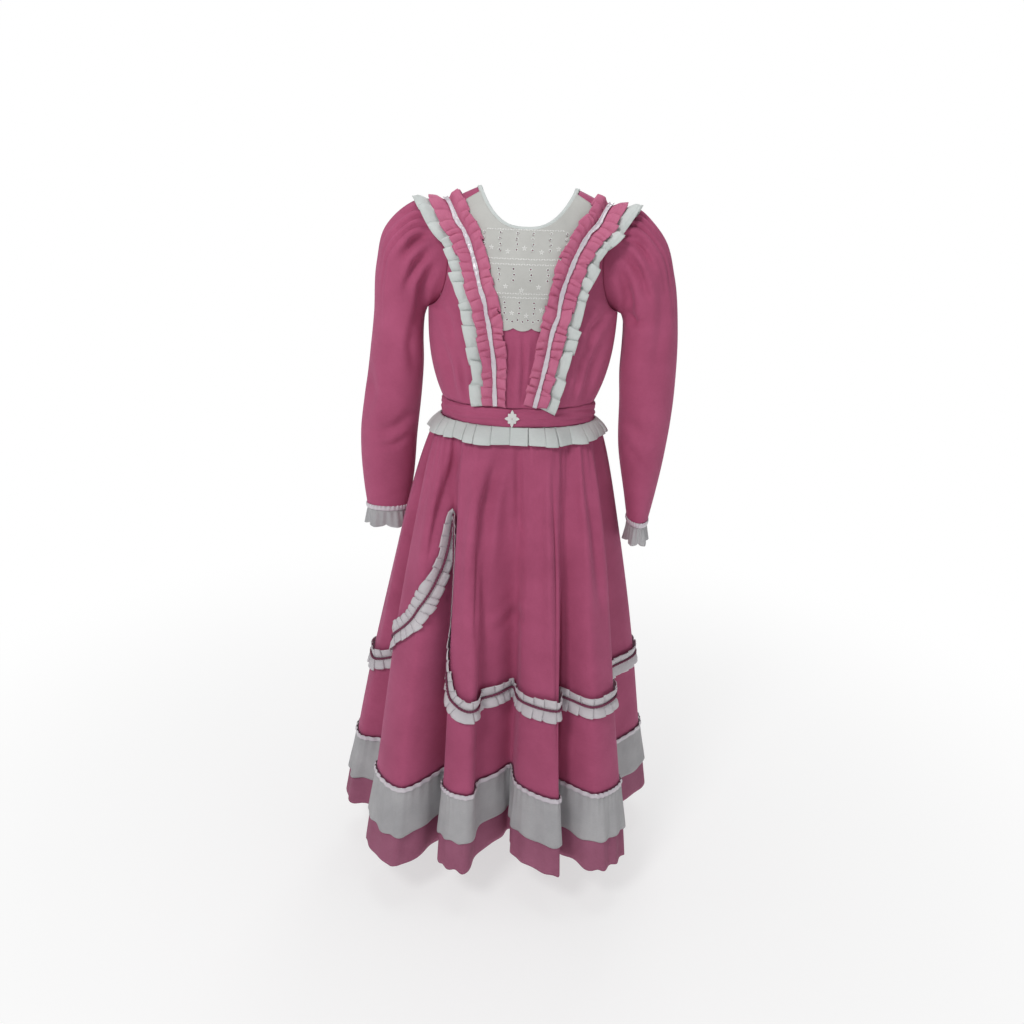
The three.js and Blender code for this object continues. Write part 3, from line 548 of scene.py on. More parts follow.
sash_pieces = {}
for side, (sign, line) in SIDES.items():
    rng = np.random.default_rng(11 if sign > 0 else 5)

    def frame_of(t, sign=sign, line=line):
        return sash_frame(sign, line, t)

    def wide(t, name):
        return curve_through(column(SASH_WIDTH, "at"), column(SASH_WIDTH, name), t)

    t, lap, which = pleats(RUFFLE_PLEATS, rng, 0.22)
    reach = np.linspace(0, 1, 15)[:, None]
    lean = rng.uniform(-0.008, 0.010, RUFFLE_PLEATS)[which]
    free = rng.uniform(-0.004, 0.004, RUFFLE_PLEATS)[which]
    rise = wide(t, "rise")
    curly = 1 + SHOULDER_CURL * hump(t, 0.5, SHOULDER_CURL_REACH)
    away = mix(RUFFLE_START, wide(t, "ruffle") + free, reach)
    lift = 0.0016 + rise * reach**1.3 + RUFFLE_WAVE * curly * lap * smooth(reach * 1.6) * (0.6 + 0.4 * reach)
    curl = 0.25 * rise * smooth((reach - 0.7) / 0.3)
    sash_pieces[f"white_ruffle_{side}"] = strip(
        f"white_ruffle_{side}_cloth", frame_of, t, away, lift - curl, lean * reach, RUFFLE_CLOTH, sign)

    t, lap, which = pleats(RUCHE_PLEATS, rng, 0.42)
    curly = 1 + SHOULDER_CURL * hump(t, 0.5, SHOULDER_CURL_REACH)
    across = np.linspace(-1, 1, 21)[:, None]
    edge = np.where(across < 0, wide(t, "inner"), wide(t, "outer"))
    ragged = np.where(across < 0, *(rng.uniform(-1, 1, RUCHE_PLEATS)[which] for _ in ("inner", "outer")))
    puff = 0.12 + 0.88 * smooth((np.abs(across) - 0.10) / 0.45)
    tilt = np.where(across < 0, *(rng.uniform(-0.7, 1, RUCHE_PLEATS)[which] for _ in ("inner", "outer")))
    base = np.where(across > 0, (RUCHE_CLEARANCE + wide(t, "rise") * RUCHE_CLIMB) * np.abs(across) ** 1.2, 0)
    sash_pieces[f"ruche_{side}"] = strip(
        f"ruche_{side}_cloth", frame_of, t,
        across * (edge + 0.0026 * ragged * np.abs(across)),
        RUCHE_LIFT + base + RUCHE_WAVE * curly * lap * puff * (1 - 0.25 * np.abs(across) ** 4),
        0.0080 * tilt * np.abs(across) ** 1.5, RUCHE_CLOTH, sign)

    t = np.linspace(0, 1, 420)
    ripple = 0.0007 * np.sin(2 * np.pi * 52 * t + 1.3 * np.sin(40 * t)) + 0.0004 * np.sin(2 * np.pi * 83 * t)
    across = np.linspace(-1, 1, 7)[:, None]
    slope = np.where(across > 0, RUCHE_CLEARANCE + wide(t, "rise") * RUCHE_CLIMB, 0) * np.abs(across) * 0.16
    sash_pieces[f"ruche_ribbon_{side}"] = strip(
        f"ruche_ribbon_{side}_satin", frame_of, t, across * (SASH_RIBBON_HALF + 0.0006 * np.sin(90 * t)),
        SASH_RIBBON_LIFT + slope + ripple * (0.4 + 0.6 * np.abs(across)) + wide(t, "rise") * 0.05,
        np.zeros((7, len(t))), RIBBON_CLOTH, sign)

# %% [markdown]
# ## Sleeves and cuffs
#
# A sleeve is a tube: its rings are ellipses that lean, shrink and shift down the arm, and its first
# ring is the armhole itself. Its head is cut wider than the armhole and gathered into it, so deep
# creases fan out from the seam. At the wrist a gathered satin ribbon holds a scalloped voile frill.

# %% Sleeve rings, from the armhole to the cuff
SLEEVES = {
    "right": table("outer_x outer_z inner_x inner_z depth back",
        (0.207, -0.019, 0.186, -0.208, 0.055, 0),
        (0.233, -0.034, 0.19, -0.22, 0.064, 0),
        (0.262, -0.064, 0.192, -0.236, 0.068, 0),
        (0.279, -0.122, 0.193, -0.262, 0.066, 0),
        (0.288, -0.22, 0.193, -0.31, 0.06, 0.006),
        (0.305, -0.34, 0.198, -0.372, 0.055, 0.018),
        (0.324, -0.455, 0.209, -0.46, 0.049, 0.038),
        (0.324, -0.58, 0.222, -0.58, 0.034, 0.056),
        (0.318, -0.636, 0.234, -0.636, 0.027, 0.06),
    ),
    "left": table("outer_x outer_z inner_x inner_z depth back",
        (0.205, -0.019, 0.186, -0.208, 0.055, 0),
        (0.229, -0.037, 0.19, -0.22, 0.064, 0),
        (0.256, -0.067, 0.191, -0.236, 0.068, 0),
        (0.279, -0.13, 0.191, -0.264, 0.066, 0),
        (0.295, -0.226, 0.19, -0.312, 0.06, 0),
        (0.3, -0.344, 0.194, -0.372, 0.056, 0),
        (0.293, -0.462, 0.199, -0.468, 0.053, -0.002),
        (0.277, -0.572, 0.218, -0.57, 0.047, -0.006),
        (0.267, -0.624, 0.228, -0.624, 0.043, -0.008),
    ),
}
SLEEVE_COLUMNS, SLEEVE_ROWS, SLEEVE_CLOTH = 120, 96, 0.0010
SLEEVE_GATHERS, GATHER_DEPTH, GATHER_REACH = 17, 0.0075, 0.085
SLEEVE_FOLDS = {
    "right": folds(
        (-1, 0.0075, 0.0075, (-0.18, -0.07), (-0.206, -0.085), (-0.232, -0.118)),
        (-1, 0.007, 0.0065, (-0.172, -0.095), (-0.2, -0.122), (-0.222, -0.17)),
        (-1, 0.008, 0.006, (-0.166, -0.12), (-0.188, -0.16), (-0.2, -0.225)),
        (-1, 0.01, 0.004, (-0.196, -0.205), (-0.212, -0.27), (-0.206, -0.33)),
        (-1, 0.011, 0.0042, (-0.205, -0.4), (-0.245, -0.44), (-0.3, -0.462)),
        (-1, 0.0085, 0.003, (-0.212, -0.452), (-0.25, -0.48), (-0.29, -0.488)),
        (-1, 0.011, 0.003, (-0.3, -0.3), (-0.29, -0.37), (-0.312, -0.43)),
        (1, 0.008, 0.0065, (-0.18, -0.08), (-0.208, -0.1), (-0.236, -0.14)),
        (1, 0.008, 0.006, (-0.172, -0.12), (-0.196, -0.16), (-0.208, -0.22)),
        (1, 0.011, 0.004, (-0.22, -0.4), (-0.258, -0.43), (-0.3, -0.436)),
    ),
    "left": folds(
        (-1, 0.0075, 0.0075, (0.178, -0.062), (0.205, -0.076), (0.232, -0.116)),
        (-1, 0.007, 0.007, (0.176, -0.088), (0.202, -0.118), (0.23, -0.18)),
        (-1, 0.008, 0.006, (0.172, -0.118), (0.19, -0.165), (0.204, -0.235)),
        (-1, 0.008, 0.0045, (0.184, -0.196), (0.206, -0.212), (0.232, -0.214)),
        (-1, 0.012, 0.003, (0.246, -0.12), (0.256, -0.21), (0.25, -0.32)),
        (-1, 0.0105, 0.0038, (0.202, -0.4), (0.232, -0.425), (0.272, -0.428)),
        (-1, 0.0085, 0.0028, (0.206, -0.45), (0.236, -0.482), (0.262, -0.492)),
        (1, 0.008, 0.0065, (0.18, -0.08), (0.208, -0.1), (0.236, -0.14)),
        (1, 0.008, 0.006, (0.172, -0.12), (0.196, -0.16), (0.208, -0.22)),
        (1, 0.011, 0.0038, (0.212, -0.4), (0.246, -0.43), (0.28, -0.434)),
    ),
}


def ring_point(sign, row, turn):
    """A point of one ring. turn is 0 at the far upper side and grows counter-clockwise from above."""
    outer = np.array([sign * row["outer_x"], row["back"], row["outer_z"]])
    inner = np.array([sign * row["inner_x"], row["back"], row["inner_z"]])
    spoke = (outer - inner)[None] / 2 * np.cos(turn)[:, None]
    spoke[:, 1] += sign * row["depth"] * np.sin(turn)
    return (outer + inner) / 2 + spoke


def gathers(turn, rng):
    """Depth of the head's gathers round the upper part of a sleeve, from -1 to 1."""
    phase = turn / (2 * np.pi) * SLEEVE_GATHERS * 1.6
    phase = phase + 0.35 * np.sin(3 * turn + rng.uniform(0, 6)) + 0.2 * np.sin(7 * turn + rng.uniform(0, 6))
    fold = 1 - 2 * np.abs(np.sin(np.pi * phase)) ** 0.7
    return -fold * smooth((1.35 - np.abs((turn + np.pi) % (2 * np.pi) - np.pi)) / 0.5)


def sleeve(side):
    sign = SIDES[side][0]
    turn = all_round(SLEEVE_COLUMNS)
    half = np.where(turn <= np.pi, turn, 2 * np.pi - turn) / np.pi * UNDERARM_DOWN
    over = np.where(turn <= np.pi, sign, -sign) * np.maximum(half, 1e-6)
    head = torso(np.full_like(turn, sign), over)
    rings = np.array([head] + [ring_point(sign, row, turn) for row in SLEEVES[side]])
    knots = lengths(rings, 0)
    at = knots[-1] * np.linspace(0, 1, SLEEVE_ROWS) ** 1.15
    points = curve_through(knots, rings, at)
    rng = np.random.default_rng(21 if sign > 0 else 22)
    fade = smooth(at / 0.012) * np.exp(-((at / GATHER_REACH) ** 1.6))
    longer = 1 + 0.5 * np.sin(5 * turn + rng.uniform(0, 6))
    fade = fade[:, None] ** (1 / np.clip(longer, 0.6, 1.5))[None]
    points = points + outward(points, ring=True) * (GATHER_DEPTH * gathers(turn, rng)[None] * fade)[..., None]
    return creased(points, SLEEVE_FOLDS[side], ring=True)


sleeves = {side: cloth(f"sleeve_{side}_cloth", sleeve(side), SLEEVE_CLOTH, ring=True) for side in SIDES}

# %% Cuffs
CUFF_RIBBON, CUFF_RIBBON_LIFT, CUFF_GATHERS = 0.011, 0.0016, 30
CUFF_LOBES, CUFF_FLARE, CUFF_SCALLOP, CUFF_CLOTH = 6, 0.006, 0.006, 0.0006
CUFF_DROP = {"right": 0.036, "left": 0.038}


def cuff(side):
    sign, end = SIDES[side][0], SLEEVES[side][-1]
    middle = np.array([sign * (end["outer_x"] + end["inner_x"]) / 2, end["back"], end["outer_z"]])
    half = np.array([(end["outer_x"] - end["inner_x"]) / 2, end["depth"]])
    turn = all_round(240)

    def ring(grow, z):
        x = middle[0] + sign * (half[0] + grow) * np.cos(turn)
        y = middle[1] + sign * (half[1] + grow) * np.sin(turn)
        return np.stack([x, y, np.broadcast_to(z, turn.shape)], -1)

    gather = np.sin(CUFF_GATHERS * turn + 0.6 * np.sin(5 * turn))
    rows = []
    for t in np.linspace(0, 1, 9):
        bead = CUFF_RIBBON_LIFT + 0.0016 * np.sin(np.pi * t) + 0.0008 * gather * (1 - 0.4 * np.sin(np.pi * t))
        rows.append(ring(bead + 0.0008 * (1 - t), end["outer_z"] + CUFF_RIBBON * (1 - t) + 0.0006 * gather))
    ribbon = cloth(f"cuff_ribbon_{side}_satin", np.array(rows), RIBBON_CLOTH, ring=True)

    lobe = np.cos(CUFF_LOBES * turn + 0.3 * np.sin(2 * turn))
    fine = np.sin(3 * CUFF_LOBES * turn + 1.1)
    rows = []
    for t in np.linspace(0, 1, 30):
        grow = CUFF_FLARE * t * (0.8 + 0.55 * lobe) + 0.0011 * fine * (1 - 0.5 * t) * smooth(t * 5)
        drop = (CUFF_DROP[side] - CUFF_SCALLOP * (1 - np.abs(np.cos(CUFF_LOBES * turn / 2)) ** 0.6)) * t
        rows.append(ring(grow, end["outer_z"] - SEAM - drop))
    frill = cloth(f"cuff_frill_{side}_voile", np.array(rows), CUFF_CLOTH, ring=True)
    return ribbon, frill


cuffs = {side: cuff(side) for side in SIDES}

# %% [markdown]
# ## Waistband, skirt and flounces
#
# The skirt is one ring of flares that swing out below the waistband. From above, its hem is a
# wavy closed curve; its waist is an oval. Each height in between is a mix of the two, so the folds
# start at the gathers and open on the way down, as heavy cloth over a petticoat does. The flounces,
# the trim and the frill all use the same formula, moved out by their own thickness.

# %% Waistband
def waist_point(turn, reach, z):
    """A point round the waist. turn is a bearing from the front, counter-clockwise from above."""
    x = WAIST_X + (WAIST_HALF + reach) * np.sin(turn)
    y = -(WAIST_DEPTH + reach) * np.cos(turn)
    return np.stack(np.broadcast_arrays(x, y, z), -1)


BAND_TUCK, BAND_PULL, BAND_ROLL, BAND_EDGE, BAND_CLOTH = 0.0010, 0.0007, 0.0022, 0.0008, 0.0010


def waistband():
    turn, down = np.meshgrid(all_round(420), np.linspace(0, 1, 20))
    tuck = BAND_TUCK * np.sin(
        2 * np.pi * (2.3 * down + 0.35 * np.sin(2 * turn + 1) + 0.12 * np.sin(7 * turn)))
    pull = BAND_PULL * np.sin(2 * np.pi * (4.1 * down + 0.5 * np.sin(3 * turn))) * np.sin(5 * turn)
    roll = BAND_ROLL * np.sin(np.pi * down) ** 0.35
    edge = BAND_EDGE * np.sin(9 * turn + 2 * np.sin(4 * turn))
    z = mix(WAIST_TOP, WAIST_BOTTOM, down) + edge * (1 - down)
    return cloth("waistband_cloth", waist_point(turn, 0.0006 + roll + tuck + pull, z), BAND_CLOTH, ring=True)


band = waistband()

# %% Flares: one row each, from the right side counter-clockwise through the front
HEM_RIBBON_Z, HEM_WHITE_Z, HEM_PINK_Z = -1.140, -1.240, -1.307
FLARES = table("start start_r end end_r valley valley_r waist",
    (-95, 0.36, -81, 0.36, -72, 0.262, (-106, -96, -87)),
    (-59, 0.347, -41, 0.347, -38, 0.2, (-74, -64, -51)),
    (-29.5, 0.28, -17, 0.28, 4, 0.14, (-36, -26, -1)),
    (5, 0.218, 22, 0.296, 27, 0.215, (16, 26, 38)),
    (37, 0.32, 51, 0.32, 66, 0.232, (47, 57, 68)),
    (98, 0.328, 116, 0.328, 128, 0.24, (87, 97, 112)),
    (136, 0.3, 150, 0.3, 158, 0.218, (125, 135, 148)),
    (166, 0.294, 180, 0.294, 188, 0.216, (160, 170, 181)),
    (197, 0.3, 211, 0.3, 220, 0.222, (193, 203, 214)),
    (229, 0.311, 245, 0.311, 255, 0.238, (225, 235, 246)),
)
COUNT = len(FLARES)


def stations():
    """Hem points and waist bearings: both sides of each crest, and each valley."""
    keys = ("start", "end", "valley")
    hem = [(np.radians(flare[key]), flare[key + "_r"]) for flare in FLARES for key in keys]
    waist = [bearing for flare in FLARES for bearing in flare["waist"]]
    return np.array([(r * np.sin(a), -r * np.cos(a)) for a, r in hem]), np.radians(waist)


HEM_POINTS, WAIST_BEARINGS = stations()
CLOSED_WAIST = np.append(WAIST_BEARINGS, WAIST_BEARINGS[0] + 2 * np.pi)


def hem_curve(place):
    """The hem seen from above: a closed smooth curve through the stations. place counts stations."""
    n = len(HEM_POINTS)
    i = np.floor(place).astype(int)
    w = (place - i)[..., None]
    p0, p1, p2, p3 = (HEM_POINTS[(i + k) % n] for k in (-1, 0, 1, 2))
    d0, d1, d2 = (
        np.linalg.norm(b - a, axis=-1, keepdims=True) ** 0.5 for a, b in ((p0, p1), (p1, p2), (p2, p3)))
    t1 = ((p1 - p0) / d0 - (p2 - p0) / (d0 + d1) + (p2 - p1) / d1) * d1
    t2 = ((p2 - p1) / d1 - (p3 - p1) / (d1 + d2) + (p3 - p2) / d2) * d1
    return p1 + t1 * w + (-3 * p1 + 3 * p2 - 2 * t1 - t2) * w**2 + (2 * p1 - 2 * p2 + t1 + t2) * w**3


def plain_skirt(flare, z):
    """A point of the skirt before its gathers. flare counts flares, from 0 to 10 all round."""
    flare, z = together(flare, z)
    place = (flare * 3) % len(HEM_POINTS)
    bearing = np.interp(place, np.arange(len(CLOSED_WAIST)), CLOSED_WAIST)
    top = waist_point(bearing, 0, z)
    fall = np.clip((WAIST_BOTTOM - z) / (WAIST_BOTTOM - HEM_PINK_Z), 0, 1)
    grow = ((fall + np.sqrt(fall)) / 2)[..., None]
    hem = np.concatenate([hem_curve(place), z[..., None]], -1)
    return mix(top, hem, grow)


def surface_normal(surface, flare, z, step=0.01, drop=0.004):
    along = surface(flare + step, z) - surface(flare - step, z)
    down = surface(flare, z - drop) - surface(flare, z + drop)
    return unit(np.cross(down, along))


# %% Gathers, ripples and creases of the skirt
WAIST_GATHERS, WAIST_GATHER_DEPTH, WAIST_GATHER_FADE = 58, 0.0026, 0.10
LONG_FOLD_DEPTH, DRIFT_DEPTH = 0.0022, 0.0026
# Beside the third flare the cloth is tucked in sharply: where, in flares, and how far, in metres.
RECESS_AT, RECESS_WIDTH, RECESS_DEPTH, RECESS_LIP, RECESS_GROWS = 2.45, 0.055, 0.020, 0.005, 0.5
SKIRT_FOLDS = folds(
    (-1, 0.012, 0.0125, (-0.04, -0.47), (-0.06, -0.56), (-0.068, -0.66), (-0.07, -0.84)),
    (-1, 0.006, 0.0065, (0.062, -0.45), (0.078, -0.64), (0.09, -0.86), (0.098, -1.08)),
    (-1, 0.008, -0.003, (0.05, -0.44), (0.062, -0.64), (0.072, -0.86)),
    (-1, 0.008, -0.003, (-0.056, -0.8), (-0.02, -0.775), (0.036, -0.745)),
    (-1, 0.0075, 0.003, (-0.05, -0.826), (-0.01, -0.8), (0.03, -0.778)),
    (-1, 0.006, 0.0016, (-0.04, -0.6), (0.01, -0.606), (0.06, -0.6)),
    (-1, 0.01, 0.007, (-0.116, -0.46), (-0.15, -0.58), (-0.176, -0.7)),
    (-1, 0.009, 0.0055, (0.12, -0.45), (0.15, -0.6), (0.172, -0.76)),
    (-1, 0.007, 0.003, (-0.004, -0.44), (0.002, -0.54), (0.006, -0.64)),
    (1, 0.01, 0.0065, (-0.05, -0.45), (-0.062, -0.6), (-0.068, -0.78)),
    (1, 0.01, 0.006, (0.04, -0.45), (0.052, -0.62), (0.06, -0.82)),
    (1, 0.009, 0.0055, (0.11, -0.46), (0.14, -0.6), (0.16, -0.74)),
    (1, 0.009, 0.0055, (-0.116, -0.46), (-0.148, -0.6), (-0.17, -0.74)),
    (1, 0.008, -0.0026, (-0.06, -0.8), (0, -0.78), (0.06, -0.76)),
)


def ripple(flare, z):
    """How far the cloth stands out from the plain skirt: gathers below the waist, soft waves."""
    turn = 2 * np.pi * flare / COUNT
    below = WAIST_BOTTOM - z
    phase = WAIST_GATHERS * turn + 1.1 * np.sin(7 * turn) + 0.8 * np.sin(13 * turn + 2)
    uneven = 0.65 + 0.35 * np.sin(9 * turn + 1.7) * np.sin(4 * turn)
    waist = WAIST_GATHER_DEPTH * np.cos(phase) * uneven * np.exp(-below / WAIST_GATHER_FADE)
    long_fold = LONG_FOLD_DEPTH * np.sin(23 * turn + 1.5 * np.sin(5 * turn))
    long_fold = long_fold * smooth(below / 0.12) * np.exp(-below / 0.5)
    drift = DRIFT_DEPTH * np.sin(17 * turn + 6 * z) * np.sin(5 * z + 3 * turn) * smooth(below / 0.25)
    tucked = -RECESS_DEPTH * hump(flare, RECESS_AT, RECESS_WIDTH)
    lip = RECESS_LIP * hump(flare, RECESS_AT - 2 * RECESS_WIDTH, RECESS_WIDTH)
    gathered = waist * smooth(below / 0.006 + 0.3)
    return gathered + long_fold + drift + (tucked + lip) * smooth(below / RECESS_GROWS)


def skirt_surface(flare, z):
    plain = plain_skirt(flare, z)
    return plain + surface_normal(plain_skirt, flare, z) * ripple(np.asarray(flare, float), z)[..., None]


def over_skirt(flare, z, height):
    flare, z = together(flare, z)
    return skirt_surface(flare, z) + surface_normal(skirt_surface, flare, z) * np.asarray(height)[..., None]


# %% Skirt panels
SKIRT_COLUMNS, SKIRT_ROWS, SKIRT_CLOTH = 270, 84, 0.0010
RIGHT_SEAM, LEFT_SEAM = 1 / 6, 31 / 6


def skirt_panel(name, start, end, side):
    flare = np.linspace(start, end, SKIRT_COLUMNS)[None]
    t = np.linspace(0, 1, SKIRT_ROWS)[:, None]
    z = mix(WAIST_BOTTOM - SEAM, HEM_RIBBON_Z + SEAM, 0.75 * t + 0.25 * t**2)
    points = skirt_surface(flare, z)
    return cloth(name, creased(points, seen_from(side, SKIRT_FOLDS)), SKIRT_CLOTH)


skirt_front = skirt_panel("skirt_front_cloth", RIGHT_SEAM, LEFT_SEAM, -1)
skirt_back = skirt_panel("skirt_back_cloth", LEFT_SEAM, RIGHT_SEAM + COUNT, 1)

# %% Hem: pink flounce, white flounce over it, satin ribbon over their seam
HEM_COLUMNS, HEM_CLOTH = 800, 0.0007
HEM_GATHERS, HEM_FINE, HEM_BROAD = 210, 0.0014, 0.0030


def flounce_ripple(flare, z, count, seed):
    """Small gathers at the ribbon that join into wider waves on the way down."""
    turn = 2 * np.pi * flare / COUNT
    below = np.clip((HEM_RIBBON_Z - z) / (HEM_RIBBON_Z - HEM_PINK_Z), 0, 1)
    fine = np.sin(count * turn + 1.5 * np.sin(11 * turn + seed) + 0.9 * np.sin(29 * turn))
    fine = fine * np.exp(-below / 0.25)
    broad = np.sin(count / 3.1 * turn + 2.1 * np.sin(6 * turn + 2 * seed)) * smooth(below * 1.6)
    return HEM_FINE * fine + HEM_BROAD * broad * (0.7 + 0.3 * np.sin(8 * turn))


def flounce(name, top, bottom, lift, seed, rows, thickness, wave):
    flare = np.linspace(0, COUNT, HEM_COLUMNS, endpoint=False)[None]
    turn = 2 * np.pi * flare / COUNT
    t = np.linspace(0, 1, rows)[:, None]
    z = mix(top, bottom + wave * np.sin(HEM_GATHERS / 3.1 * turn + seed), t)
    shared = flounce_ripple(flare, z, HEM_GATHERS, 1)
    own = 0.25 * flounce_ripple(flare, z, HEM_GATHERS * 0.8, seed)
    points = over_skirt(flare, z, shared + own + lift(np.clip((top - z) / (top - bottom), 0, 1)))
    return cloth(name, points, thickness, ring=True)


pink_flounce = flounce("hem_flounce_pink_cloth", HEM_RIBBON_Z, HEM_PINK_Z,
                       lambda t: 0.0 * t, 1, 22, HEM_CLOTH, 0.0022)
white_flounce = flounce("hem_flounce_white_voile", HEM_RIBBON_Z - 0.002, HEM_WHITE_Z,
                        lambda t: 0.0020 + 0.0030 * t, 3, 18, HEM_CLOTH, 0.0020)
hem_satin = flounce("hem_ribbon_satin", HEM_RIBBON_Z + 0.005, HEM_RIBBON_Z - 0.005,
                    lambda t: 0.0040 + 0.0008 * np.sin(np.pi * t), 2, 6, RIBBON_CLOTH, 0)

# %% [markdown]
# ## The skirt trim
#
# A white two-sided frill is pleated on a dark pink cord and sewn round the skirt, level but for one
# place where it climbs almost to the waist. The way it runs is a table of heights. From that line
# the frill's edges are found by walking over the skirt at a right angle to the line, in small
# steps, so the frill keeps its width where it climbs.

# %% The trim's line
TRIM_LEVEL_Z = -0.950
TRIM_LINE = table("flare z",
    (0.0, TRIM_LEVEL_Z), (0.34, TRIM_LEVEL_Z), (0.67, -0.915),
    (1.0, -0.850), (1.17, -0.812), (1.33, -0.768),
    (1.5, -0.690), (1.67, -0.590), (1.83, -0.800),
    (2.0, -0.920), (2.17, TRIM_LEVEL_Z), (2.6, TRIM_LEVEL_Z),
    (COUNT, TRIM_LEVEL_Z),
)
TRIM_PEAK = 1.67  # the flare count at which the trim turns back down
TRIM_PLEATS, TRIM_UP, TRIM_DOWN, TRIM_WAVE, TRIM_LIFT, TRIM_CLOTH = 124, 0.020, 0.024, 0.0042, 0.0028, 0.0006
PRESSED_AT, PRESSED_WIDTH, PRESSED = 1.78, 0.085, 0.85  # where the frill lies flat, shut in the valley


def pressed(flare):
    """How much of the frill's height is left beside the valley that it climbs out of."""
    return 1 - PRESSED * hump(flare, PRESSED_AT, PRESSED_WIDTH, 4)


def trim_path(t):
    """Flare count and height at shares of the trim's length."""
    flare = np.linspace(0, COUNT, 6001)
    z = curve_through(column(TRIM_LINE, "flare"), column(TRIM_LINE, "z"), flare)
    points = plain_skirt(flare, z)
    run = running(points)
    place = np.asarray(t) % 1 * run[-1]
    return np.interp(place, run, flare), np.interp(place, run, z)


def walk(flare, z, way, distance, steps=6):
    """Where a walk over the skirt from a place ends, in a direction of space."""
    start = flare
    for _ in range(steps):
        along = (plain_skirt(flare + 0.01, z) - plain_skirt(flare - 0.01, z)) / 0.02
        rise = (plain_skirt(flare, z + 0.002) - plain_skirt(flare, z - 0.002)) / 0.004
        aa, rr, ar = ((p * q).sum(-1) for p, q in ((along, along), (rise, rise), (along, rise)))
        wa, wr = (way * along).sum(-1), (way * rise).sum(-1)
        det = aa * rr - ar**2
        flare = flare + (rr * wa - ar * wr) / det * distance / steps
        z = z + (aa * wr - ar * wa) / det * distance / steps
        near = np.abs(start - TRIM_PEAK) < 0.5
        flare = np.where(near & (start < TRIM_PEAK), np.minimum(flare, TRIM_PEAK - 0.004), flare)
        flare = np.where(near & (start >= TRIM_PEAK), np.maximum(flare, TRIM_PEAK + 0.004), flare)
    return flare, z


# %% The trim's frill
FLAT_PLEAT = [(0.00, 0.00), (0.08, 0.30), (0.22, 0.66), (0.45, 0.88), (0.75, 0.98), (0.97, 1.00),
              (1.03, 0.72), (1.01, 0.30)]


def skirt_trim():
    rng = np.random.default_rng(31)
    t, lap, which = pleats(TRIM_PLEATS, rng, 0.35, FLAT_PLEAT)
    t, lap, which = t[:-1], lap[:-1], which[:-1]
    flare, z = trim_path(t)
    before, after = trim_path(t - 0.0012), trim_path(t + 0.0012)
    normal = surface_normal(plain_skirt, flare, z)
    along = unit(plain_skirt(after[0] % COUNT, after[1]) - plain_skirt(before[0] % COUNT, before[1]))
    up = unit(np.cross(normal, along))
    rows = []
    edge = rng.uniform(-0.0022, 0.0022, (2, TRIM_PLEATS))
    slant = rng.uniform(-0.0005, 0.0007, (2, TRIM_PLEATS))
    for s in np.linspace(-1, 1, 13):
        half = 0 if s < 0 else 1
        width = (TRIM_UP, TRIM_DOWN)[half] + edge[half][which] + 0.0010 * (lap - 0.5)
        out = abs(s)
        f2, z2 = walk(flare, z, up * -np.sign(s), width * out)
        shift = slant[half][which] * out * COUNT
        rise = 0.10 + 0.90 * smooth((out - 0.05) / 0.5)
        height = pressed(flare) * (TRIM_LIFT + TRIM_WAVE * lap * rise + 0.002 * out**2)
        rows.append(over_skirt(f2 + shift, z2, height))
    return cloth("skirt_trim_cloth", np.array(rows), TRIM_CLOTH, ring=True)


trim = skirt_trim()

# %% [markdown]
# ### Waist frill
#
# A white frill hangs from under the band. Its box pleats have a wide flat front whose two edges
# turn under, so two neighbours almost touch and hide a hollow between them.

# %% Waist frill
BOX_PLEAT = [(0.10, 0.00), (0.035, 0.30), (0.00, 0.72), (0.05, 0.96), (0.20, 1.04), (0.50, 1.08),
             (0.80, 1.04), (0.95, 0.96), (1.00, 0.72), (0.965, 0.30), (0.90, 0.00)]
FRILL_PLEATS, FRILL_DROP, FRILL_LIFT = 34, 0.027, 0.0034
FRILL_FLARE, FRILL_WAVE, FRILL_CLOTH = 0.004, 0.0055, 0.0008


def waist_frill():
    rng = np.random.default_rng(41)
    t, lap, which = pleats(FRILL_PLEATS, rng, 0.30, BOX_PLEAT)
    t, lap, which = t[:-1], lap[:-1], which[:-1]
    turn = 2 * np.pi * t - np.pi / FRILL_PLEATS
    dip = rng.uniform(-0.0020, 0.0030, FRILL_PLEATS)[which]
    tip = rng.uniform(-0.012, 0.012, FRILL_PLEATS)[which]
    rows = []
    for down in np.linspace(0, 1, 16):
        z = WAIST_BOTTOM - SEAM * 2 + 0.002 * (1 - down) - (FRILL_DROP + dip) * down
        bearing = (turn + tip * down - CLOSED_WAIST[0]) % (2 * np.pi) + CLOSED_WAIST[0]
        base = plain_skirt(np.interp(bearing, CLOSED_WAIST, np.arange(len(CLOSED_WAIST))) / 3, z)
        spoke = unit(base * (1, 1, 0) - np.array([WAIST_X, 0, 0]))
        swell = FRILL_LIFT + FRILL_FLARE * down + FRILL_WAVE * lap * (0.25 + 0.75 * smooth(down * 1.3))
        rows.append(base + spoke * swell[:, None])
    return cloth("waist_frill_cloth", np.array(rows), FRILL_CLOTH, ring=True)


frill = waist_frill()

# %% Rosette: a crochet diamond, in rounds of stitches about a small eye
ROSETTE_X, ROSETTE_HALF_WIDTH, ROSETTE_HALF_HEIGHT = -0.016, 0.0140, 0.0170
ROSETTE_LOBES, ROSETTE_NOTCH = 8, 0.14
ROSETTE_Y, ROSETTE_Z, ROSETTE_CLOTH = -(WAIST_DEPTH + 0.0042), (WAIST_TOP + WAIST_BOTTOM) / 2, 0.0012


